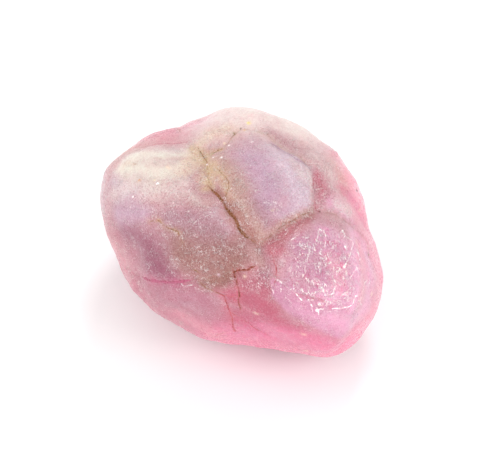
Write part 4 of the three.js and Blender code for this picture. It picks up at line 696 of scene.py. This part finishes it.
def build_stone():
    WORMS.extend(scatter_worms(230, 5))
    U, T = stone_mesh(76)
    r, P = broad(U)  # P lies on the form before its grooves, where every run is placed
    n_ = len(P)

    # ---- masks
    warp = 1.1 * np.stack([fbm(P, 4.0, 3, 11), fbm(P, 4.0, 3, 21), fbm(P, 4.0, 3, 31)], -1)
    warp = warp + 0.5 * np.stack([fbm(P, 0.9, 2, 14), fbm(P, 0.9, 2, 24), fbm(P, 0.9, 2, 34)], -1)
    tone, marks = zone_marks(P, warp)
    clear, frost, gloss, grain = marks.T.copy()
    low = smooth(-3.5, -9.5, P[:, 2])
    # ---- relief
    crumple = 0.075 * fbm(P, 2.6, 2, 41) + 0.045 * noise(P, 1.0, 51)
    calm = 1 - 0.6 * low
    fine = 0.035 * noise(P, 0.45, 61) * (0.25 + 0.75 * grain) + 0.02 * noise(P, 0.26, 62) * grain
    wl = P + 0.35 * np.stack([noise(P, 0.9, 71), noise(P, 0.9, 72), noise(P, 0.9, 73)], -1)
    worm = 1 - np.abs(noise(wl, 0.8, 81)) * 2.4
    etched = smooth(0.5, 1.0, worm) * smooth(-0.1, 0.5, noise(P, 2.2, 91) + 0.5 * gloss)
    rise = crumple * calm + fine * calm + 0.045 * etched * (0.3 + gloss) * calm
    for high, radius, at in KNOBS:
        rise += high * np.exp(-(((P - np.array(at)) ** 2).sum(-1) / (radius * radius)) ** 1.3)
    dark = np.zeros(n_)
    line = np.full(n_, 6.0)   # distance to the nearest crack, in its own half widths
    stain = np.zeros(n_)
    glint_white = np.zeros(n_)
    thread = np.full(n_, 6.0)  # distance to the nearest worm, in its own half widths
    core_tone = tone.copy()
    halo_tone = tone.copy()
    for name, hw, depth, core, darkness, around, halo, hs, run in CRACKS:
        i = near(P, run, 2.2)
        jit = P[i] + 0.07 * np.stack([noise(P[i], 0.45, 101), noise(P[i], 0.45, 102), noise(P[i], 0.45, 103)], -1) + 0.14 * np.stack([noise(P[i], 1.7, 104), noise(P[i], 1.7, 105), noise(P[i], 1.7, 106)], -1)
        d, v = run_distance(jit, run, 1)
        v = v[:, 0]
        w = hw * 0.8 * (0.45 + 0.55 * v) * (1 + 0.5 * noise(P[i], 0.8, 107))
        cut = np.exp(-(d / w) ** 2) * v
        rise[i] -= depth * cut + depth * 0.25 * v * np.exp(-(d / (2.6 * w)) ** 2)
        q = d / w
        k = darkness * np.clip(v * 1.4, 0, 1)
        h = hs * np.clip(v, 0, 1) * np.exp(-(d / halo) ** 1.6) * (0.8 + 0.6 * noise(P[i], 0.7, 109))
        nearer = (q < line[i]) & (d < 1.0)
        core_tone[i] = np.where(nearer[:, None], lin(PALETTE[core]), core_tone[i])
        halo_tone[i] = np.where((h > stain[i])[:, None], lin(PALETTE[around]), halo_tone[i])
        dark[i] = np.where(nearer, k, dark[i])
        line[i] = np.where(nearer, q, line[i])
        stain[i] = np.maximum(stain[i], h)
    for pale, wide, run in WORMS:
        i = near(P, run, 0.6)
        jit = P[i] + 0.05 * np.stack([noise(P[i], 0.35, 111), noise(P[i], 0.35, 112), noise(P[i], 0.35, 113)], -1)
        d, _ = run_distance(jit, run)
        w = wide * (1 + 0.6 * noise(P[i], 0.5, 114))
        k = np.exp(-(d / w) ** 2)
        rise[i] += (0.4 + 0.6 * pale) * 0.9 * wide * k
        q = d / w
        nearer = q < thread[i]
        glint_white[i] = np.where(nearer, pale * smooth(-0.85, 0.1, noise(P[i], 0.5, 115)), glint_white[i])
        thread[i] = np.where(nearer, q, thread[i])
        gloss[i] = np.maximum(gloss[i], k)
    for name, radius, at in SPECKS:
        i = near(P, [at], 1.2)
        d = np.linalg.norm(P[i] + 0.35 * radius * np.stack([noise(P[i], radius * 1.4, 121), noise(P[i], radius * 1.4, 122), noise(P[i], radius * 1.4, 123)], -1) - np.array(at), axis=1)
        w = np.exp(-(d / radius) ** 3)
        tone[i] = mix(tone[i], lin(PALETTE[name]), w)
        # the WHITE specks are painted glints, whitened like the worms' highlights
        if name == "WHITE":
            nearer = d / radius < thread[i]
            glint_white[i] = np.where(nearer, 0.9, glint_white[i])
            thread[i] = np.where(nearer, d / radius, thread[i])
        rise[i] += (0.05 if name in ("WHITE", "YELLOW", "PALEYELLOW", "ORANGE") else -0.05) * w

    V = U * (r + rise)[:, None] + HEART
    # the solid's own box, so that the skin stands neither proud of it nor short of it
    lo, hi = V.min(0), V.max(0)
    blo, bhi = (np.array(c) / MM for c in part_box("tourmaline_nodule"))
    lo[2] = blo[2]
    V = blo + (V - lo) * (bhi - blo) / (hi - lo)
    # the resting flat
    z = V[:, 2]
    V[:, 2] = np.where(z < 0, 0.0, z)

    me = bpy.data.meshes.new("tourmaline_skin")
    me.from_pydata((V * MM).tolist(), [], T.tolist())
    me.update()
    ob = bpy.data.objects.new("tourmaline_skin", me)
    bpy.context.scene.collection.objects.link(ob)
    for name, data in (("clear", clear), ("frost", frost), ("gloss", gloss), ("grain", grain), ("stain", stain), ("dark", dark), ("line", np.minimum(line, 6)), ("glint_white", glint_white), ("thread", np.minimum(thread, 6))):
        me.attributes.new(name, "FLOAT", "POINT").data.foreach_set("value", np.clip(data, 0, 6).astype(np.float32))
    for name, data in (("tone", tone), ("core_tone", core_tone), ("halo_tone", halo_tone)):
        col = me.attributes.new(name, "FLOAT_COLOR", "POINT")
        col.data.foreach_set("color", np.concatenate([np.clip(data * DEPTH, 0, 1), np.ones((n_, 1))], 1).astype(np.float32).ravel())
    me.shade_smooth()
    print("stone", len(me.vertices), "vertices", len(me.polygons), "faces")
    return ob


DEPTH = 0.835  # how much darker the stone is than its lit colours
# how clear, frosted, glossy and grainy each kind of skin is
SKINS = {
    "glass": (1.0, 0.08, 0.36, 0.02),
    "gel": (0.6, 0.35, 0.35, 0.07),
    "sheer": (1.0, 0.22, 0.3, 0.2),
    "grit": (0.65, 0.45, 0.3, 0.85),
    "etched": (0.6, 0.38, 0.9, 0.42),
    "satin": (0.3, 0.7, 0.15, 0.45),
    "dusty": (0.2, 0.85, 0.15, 0.75),
    "chalk": (0.15, 0.75, 0.1, 0.14),
}


# ------------------------------------------------------------------ the material
class Nodes:
    def __init__(self, tree):
        self.t = tree

    def add(self, kind, **props):
        n = self.t.nodes.new(kind)
        for k, v in props.items():
            setattr(n, k, v)
        return n

    def put(self, socket, value):
        if isinstance(value, bpy.types.NodeSocket):
            self.t.links.new(value, socket)
        else:
            socket.default_value = value

    def attr(self, name, colour=False):
        n = self.add("ShaderNodeAttribute", attribute_name=name)
        return n.outputs["Color" if colour else "Fac"]

    def noise(self, per_mm, detail=2.0, rough=0.5, lac=2.0, distort=0.0, offset=0.0, stretch=None):
        m = self.add("ShaderNodeMapping", vector_type="TEXTURE" if stretch else "POINT")
        m.inputs["Location"].default_value = (offset, offset * 0.7, -offset)
        if stretch:
            m.inputs["Rotation"].default_value = GRAIN_AXIS.to_track_quat("Z", "Y").to_euler()
            m.inputs["Scale"].default_value = (1.0, 1.0, stretch)
        self.put(m.inputs["Vector"], self.coord)
        n = self.add("ShaderNodeTexNoise")
        self.put(n.inputs["Vector"], m.outputs[0])
        n.inputs["Scale"].default_value = per_mm * 1000
        n.inputs["Detail"].default_value = detail
        n.inputs["Roughness"].default_value = rough
        n.inputs["Lacunarity"].default_value = lac
        n.inputs["Distortion"].default_value = distort
        return n.outputs["Fac"]

    def strokes(self, per_mm, distort, width, offset, breaks_per_mm, lo, hi, stretch=None):
        """Short curled lines: a noise's middle contour, broken up by a second noise."""
        line = self.math("ABSOLUTE", self.math("SUBTRACT", self.noise(per_mm, 1.0, 0.5, distort=distort, offset=offset, stretch=stretch), 0.5))
        line = self.step(line, width, width * 0.3)
        return self.math("MULTIPLY", line, self.step(self.noise(breaks_per_mm, 1.0, 0.5, offset=offset + 0.1), lo, hi))

    def math(self, op, a, b=None, c=None, clamp=False):
        n = self.add("ShaderNodeMath", operation=op, use_clamp=clamp)
        self.put(n.inputs[0], a)
        if b is not None:
            self.put(n.inputs[1], b)
        if c is not None:
            self.put(n.inputs[2], c)
        return n.outputs[0]

    def step(self, x, lo, hi, to_lo=0.0, to_hi=1.0):
        n = self.add("ShaderNodeMapRange", interpolation_type="SMOOTHSTEP", clamp=True)
        self.put(n.inputs["Value"], x)
        n.inputs["From Min"].default_value = lo
        n.inputs["From Max"].default_value = hi
        n.inputs["To Min"].default_value = to_lo
        n.inputs["To Max"].default_value = to_hi
        return n.outputs["Result"]

    def mix(self, fac, a, b, blend="MIX"):
        n = self.add("ShaderNodeMix", data_type="RGBA", blend_type=blend)
        self.put(n.inputs["Factor"], fac)
        self.put(n.inputs[6], a)
        self.put(n.inputs[7], b)
        return n.outputs[2]

    def bump(self, height, strength, distance, normal=None):
        n = self.add("ShaderNodeBump")
        self.put(n.inputs["Height"], height)
        self.put(n.inputs["Strength"], strength)
        n.inputs["Distance"].default_value = distance
        if normal is not None:
            self.put(n.inputs["Normal"], normal)
        return n.outputs["Normal"]


# the crystal's long axis, along which the etch lines run
GRAIN_AXIS = Vector((-0.49, 0.58, 0.65))


def rgba(c):
    return (*lin(c), 1.0)


def stone_material():
    mat = bpy.data.materials.new("tourmaline")
    mat.use_nodes = True
    t = mat.node_tree
    t.nodes.clear()
    N = Nodes(t)
    out = N.add("ShaderNodeOutputMaterial")
    bsdf = N.add("ShaderNodeBsdfPrincipled")
    t.links.new(bsdf.outputs[0], out.inputs["Surface"])
    N.coord = N.add("ShaderNodeTexCoord").outputs["Object"]

    tone, core, around = (N.attr(a, True) for a in ("tone", "core_tone", "halo_tone"))
    clear, frost, gloss, grainy, stain, dark, line, glint_white, thread = (N.attr(a) for a in ("clear", "frost", "gloss", "grain", "stain", "dark", "line", "glint_white", "thread"))

    # cloudy mottling inside the crystal
    cloud = N.noise(0.36, 4.0, 0.6)
    c = N.mix(N.math("MULTIPLY", N.step(cloud, 0.52, 0.34), N.math("SUBTRACT", 0.22, N.math("MULTIPLY", gloss, 0.16))), tone, N.mix(1.0, tone, rgba((226, 188, 204)), "MULTIPLY"))
    veil = N.noise(1.1, 4.0, 0.62, distort=0.3, offset=0.013)
    c = N.mix(N.math("MULTIPLY", N.step(veil, 0.52, 0.34), N.math("SUBTRACT", 0.24, N.math("MULTIPLY", gloss, 0.18))), c, N.mix(1.0, c, rgba((222, 178, 192)), "MULTIPLY"))
    c = N.mix(N.math("MULTIPLY", N.step(veil, 0.52, 0.68), N.math("MULTIPLY", frost, 0.10)), c, rgba((226, 196, 204)))
    # dusty grey-tan film caught in the frosted parts
    film = N.noise(1.7, 4.0, 0.65, offset=0.031)
    c = N.mix(N.math("MULTIPLY", N.step(film, 0.52, 0.72), N.math("MULTIPLY", grainy, 0.18)), c, N.mix(1.0, c, rgba((238, 216, 198)), "MULTIPLY"))
    # fine dark pores of the etched skin
    pore = N.noise(4.8, 3.0, 0.7, offset=0.047)
    c = N.mix(N.math("MULTIPLY", N.step(pore, 0.49, 0.35), N.math("MULTIPLY_ADD", grainy, 0.68, 0.03), clamp=True), c, N.mix(1.0, c, rgba((200, 136, 144)), "MULTIPLY"))
    # iron: an ochre halo round each crack
    rag = N.noise(2.4, 4.0, 0.7, offset=0.061)
    ir = N.math("MULTIPLY", stain, N.step(rag, 0.34, 0.62, 0.35, 1.15), clamp=True)
    c = N.mix(N.math("MULTIPLY", ir, 0.85), c, around)
    # pale grains and short hairs of the etched skin, partly painted glints, and on the glossy skin curled strokes that
    # are painted highlights
    pick = N.noise(0.9, 2.0, 0.5, offset=0.213)
    flock = N.step(pick, 0.40, 0.62, 0.18, 1.0)
    grit = N.noise(6.4, 2.0, 0.6, offset=0.171)
    dot = N.math("MULTIPLY", N.step(grit, 0.59, 0.655), N.math("MULTIPLY", flock, N.math("MULTIPLY_ADD", grainy, 0.95, 0.05)), clamp=True)
    hair = N.strokes(2.9, 0.9, 0.055, 0.31, 1.9, 0.50, 0.57)
    dot = N.math("MAXIMUM", dot, N.math("MULTIPLY", hair, N.math("MULTIPLY", flock, N.math("MULTIPLY", grainy, 0.75)), clamp=True))
    curl = N.strokes(3.6, 0.9, 0.060, 0.47, 1.5, 0.46, 0.53, stretch=2.6)
    lush = N.step(gloss, 0.45, 0.85)
    dot = N.math("MAXIMUM", dot, N.math("MULTIPLY", curl, N.math("MULTIPLY", lush, N.step(N.noise(0.7, 2.0, 0.5, offset=0.91), 0.40, 0.62, 0.5, 1.25))))
    c = N.mix(N.math("MULTIPLY", dot, 0.78, clamp=True), c, rgba(PALETTE["GRAIN"]))
    # the finest grain of the skin, drawn out along the crystal: dark specks, and light specks that are partly painted
    # glints
    speck = N.noise(8.6, 1.0, 0.5, offset=0.371, stretch=1.6)
    c = N.mix(N.math("MULTIPLY", N.step(speck, 0.54, 0.70), N.math("MULTIPLY_ADD", N.math("MULTIPLY", grainy, flock), 0.30, 0.06)), c, rgba(PALETTE["GRAIN"]))
    c = N.mix(N.math("MULTIPLY", N.step(speck, 0.47, 0.31), N.math("MULTIPLY_ADD", N.math("MULTIPLY", grainy, N.step(film, 0.40, 0.62, 0.4, 1.1)), 0.42, 0.16)), c, N.mix(1.0, c, rgba((196, 132, 142)), "MULTIPLY"))
    # deeper pink strokes drawn out along the crystal, strongest on the glossy skin
    pink_strokes = N.strokes(2.6, 0.8, 0.07, 0.83, 1.0, 0.45, 0.56, stretch=3.0)
    c = N.mix(N.math("MULTIPLY", pink_strokes, N.math("MULTIPLY_ADD", lush, 0.46, 0.06)), c, N.mix(1.0, c, rgba((248, 160, 196)), "MULTIPLY"))
    # painted highlights: the glassy worms' crests painted white, broken up
    shred = N.noise(3.8, 2.0, 0.6, offset=0.533)
    ragged = N.math("MULTIPLY_ADD", shred, 1.6, N.math("SUBTRACT", thread, 0.8))
    breaks = N.noise(5.2, 1.0, 0.5, offset=0.733)
    wh = N.math("MULTIPLY", N.step(ragged, 1.25, 0.70), N.math("MULTIPLY", glint_white, N.step(breaks, 0.42, 0.56, 0.25, 1.25)), clamp=True)
    c = N.mix(wh, c, rgba(PALETTE["GRAIN"]))
    # the brown line of the crack itself
    rag2 = N.noise(5.0, 3.0, 0.6, offset=0.077)
    edge = N.math("MULTIPLY_ADD", rag2, 1.8, N.math("SUBTRACT", line, 0.9))
    dk = N.math("MULTIPLY", N.step(edge, 1.45, 0.80), N.math("MULTIPLY", dark, N.step(rag2, 0.60, 0.42, 0.55, 1.1)), clamp=True)
    c = N.mix(dk, c, N.mix(N.step(rag2, 0.50, 0.40), core, N.mix(1.0, core, rgba((206, 190, 182)), "MULTIPLY")))
    N.put(bsdf.inputs["Base Color"], c)

    # ---- relief too fine for the mesh
    crinkle = N.noise(2.2, 3.0, 0.6, distort=1.6, offset=0.09)
    n1 = N.bump(crinkle, N.math("MULTIPLY_ADD", grainy, 0.50, 0.12), 0.00022)
    ridge = N.math("ABSOLUTE", N.math("SUBTRACT", N.noise(1.5, 2.0, 0.5, distort=2.6, offset=0.12), 0.5))
    n2 = N.bump(N.step(ridge, 0.045, 0.0), N.math("MULTIPLY_ADD", gloss, 0.50, 0.10), 0.00012, n1)
    n3 = N.bump(pore, N.math("MULTIPLY_ADD", grainy, 0.75, 0.10), 0.00026, n2)
    n4 = N.bump(dot, 1.0, 0.00012, n3)
    N.put(bsdf.inputs["Normal"], n4)
    N.put(bsdf.inputs["Coat Normal"], N.bump(N.step(ridge, 0.06, 0.0), N.math("MULTIPLY_ADD", gloss, 0.35, 0.10), 0.00006))

    rough = N.math("MULTIPLY_ADD", frost, 0.20, 0.28)
    rough = N.math("ADD", rough, N.math("MULTIPLY", N.math("SUBTRACT", crinkle, 0.5), 0.35))
    rough = N.math("SUBTRACT", rough, N.math("MULTIPLY", gloss, 0.14))
    rough = N.math("SUBTRACT", rough, N.math("MULTIPLY", dot, 0.15))
    rough = N.math("ADD", rough, N.math("MULTIPLY", dk, 0.3))
    N.put(bsdf.inputs["Roughness"], N.math("MINIMUM", N.math("MAXIMUM", rough, 0.14), 0.85))
    coat = N.math("MULTIPLY", N.math("ADD", gloss, 0.05), N.step(crinkle, 0.38, 0.58, 0.2, 1.0), clamp=True)
    N.put(bsdf.inputs["Coat Weight"], N.math("MULTIPLY", coat, N.math("SUBTRACT", 1.0, dk)))
    bsdf.inputs["Coat Roughness"].default_value = 0.08
    bsdf.inputs["Coat IOR"].default_value = 1.6
    bsdf.inputs["IOR"].default_value = 1.62
    bsdf.inputs["Specular IOR Level"].default_value = 0.36
    N.put(bsdf.inputs["Subsurface Weight"], N.math("MULTIPLY_ADD", clear, 0.6, 0.15, clamp=True))
    bsdf.inputs["Subsurface Radius"].default_value = (1.0, 0.40, 0.52)
    bsdf.inputs["Subsurface Scale"].default_value = 0.0020
    return mat


stone = build_stone()
stone.data.materials.append(stone_material())
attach(stone, "root")
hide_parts("tourmaline_nodule")

# ------------------------------------------------------------------ floor, light and camera
floor_me = bpy.data.meshes.new("floor")
floor_me.from_pydata([(-1.5, -1.5, -2e-5), (1.5, -1.5, -2e-5), (1.5, 1.5, -2e-5), (-1.5, 1.5, -2e-5)], [], [(0, 1, 2, 3)])
floor = bpy.data.objects.new("floor", floor_me)
bpy.context.scene.collection.objects.link(floor)
fm = bpy.data.materials.new("pale_floor")
fm.use_nodes = True
fb = fm.node_tree.nodes["Principled BSDF"]
fb.inputs["Base Color"].default_value = (0.885, 0.885, 0.885, 1)
fb.inputs["Roughness"].default_value = 0.9
fb.inputs["Specular IOR Level"].default_value = 0.1
floor_me.materials.append(fm)

TURN = math.radians(36.0)   # the viewing azimuth
TILT = math.radians(49.6)   # the viewing elevation


def from_view(x, y, z):
    """A point given as right, away and up of the viewing azimuth, in metres."""
    return Vector((x * math.cos(TURN) - y * math.sin(TURN), x * math.sin(TURN) + y * math.cos(TURN), z))


def area_light(name, at, aim, size, watts, colour=(1, 1, 1)):
    L = bpy.data.lights.new(name, "AREA")
    L.shape = "SQUARE"
    L.size = size
    L.energy = watts
    L.color = colour
    o = bpy.data.objects.new(name, L)
    o.location = at
    o.rotation_euler = (Vector(aim) - Vector(at)).to_track_quat("-Z", "Y").to_euler()
    bpy.context.scene.collection.objects.link(o)
    return o


area_light("key", from_view(0.06, 0.20, 0.27), (0, 0, 0.01), 0.11, 0.36)
area_light("side", from_view(0.22, -0.13, 0.21), (0, 0, 0.01), 0.12, 0.24)
area_light("low_right", from_view(0.27, -0.24, 0.07), (0, 0, 0.01), 0.07, 0.06)
area_light("front", from_view(-0.08, -0.36, 0.08), (0, 0, 0.008), 0.24, 0.25)
area_light("left", from_view(-0.32, -0.02, 0.16), (0, 0, 0.01), 0.30, 0.68)
area_light("low", from_view(0.05, -0.17, 0.03), from_view(0.004, -0.012, 0.0), 0.05, 0.10)

world = bpy.data.worlds.new("studio")
bpy.context.scene.world = world
world.use_nodes = True
bg = world.node_tree.nodes["Background"]
bg.inputs[0].default_value = (1, 1, 1, 1)
bg.inputs[1].default_value = 0.84

right = from_view(1, 0, 0)
toward = from_view(0, -math.cos(TILT), math.sin(TILT))
up = from_view(0, math.sin(TILT), math.cos(TILT))
aim = Vector((-0.000124, 0.000926, 0.01109))
cam_data = bpy.data.cameras.new("camera")
cam = bpy.data.objects.new("camera", cam_data)
bpy.context.scene.collection.objects.link(cam)
cam_data.sensor_fit = "HORIZONTAL"
cam_data.sensor_width = 36
cam_data.lens = 230.08
cam_data.clip_start = 0.01
cam.location = aim + toward * 0.35
cam.matrix_world = Matrix.Translation(cam.location) @ Matrix((right, up, toward)).transposed().to_4x4()
bpy.context.scene.camera = cam
sc = bpy.context.scene
sc.view_settings.view_transform = "Standard"
sc.view_settings.look = "None"
sc.cycles.use_denoising = True
sc.cycles.max_bounces = 16
sc.cycles.sample_clamp_indirect = 4.0
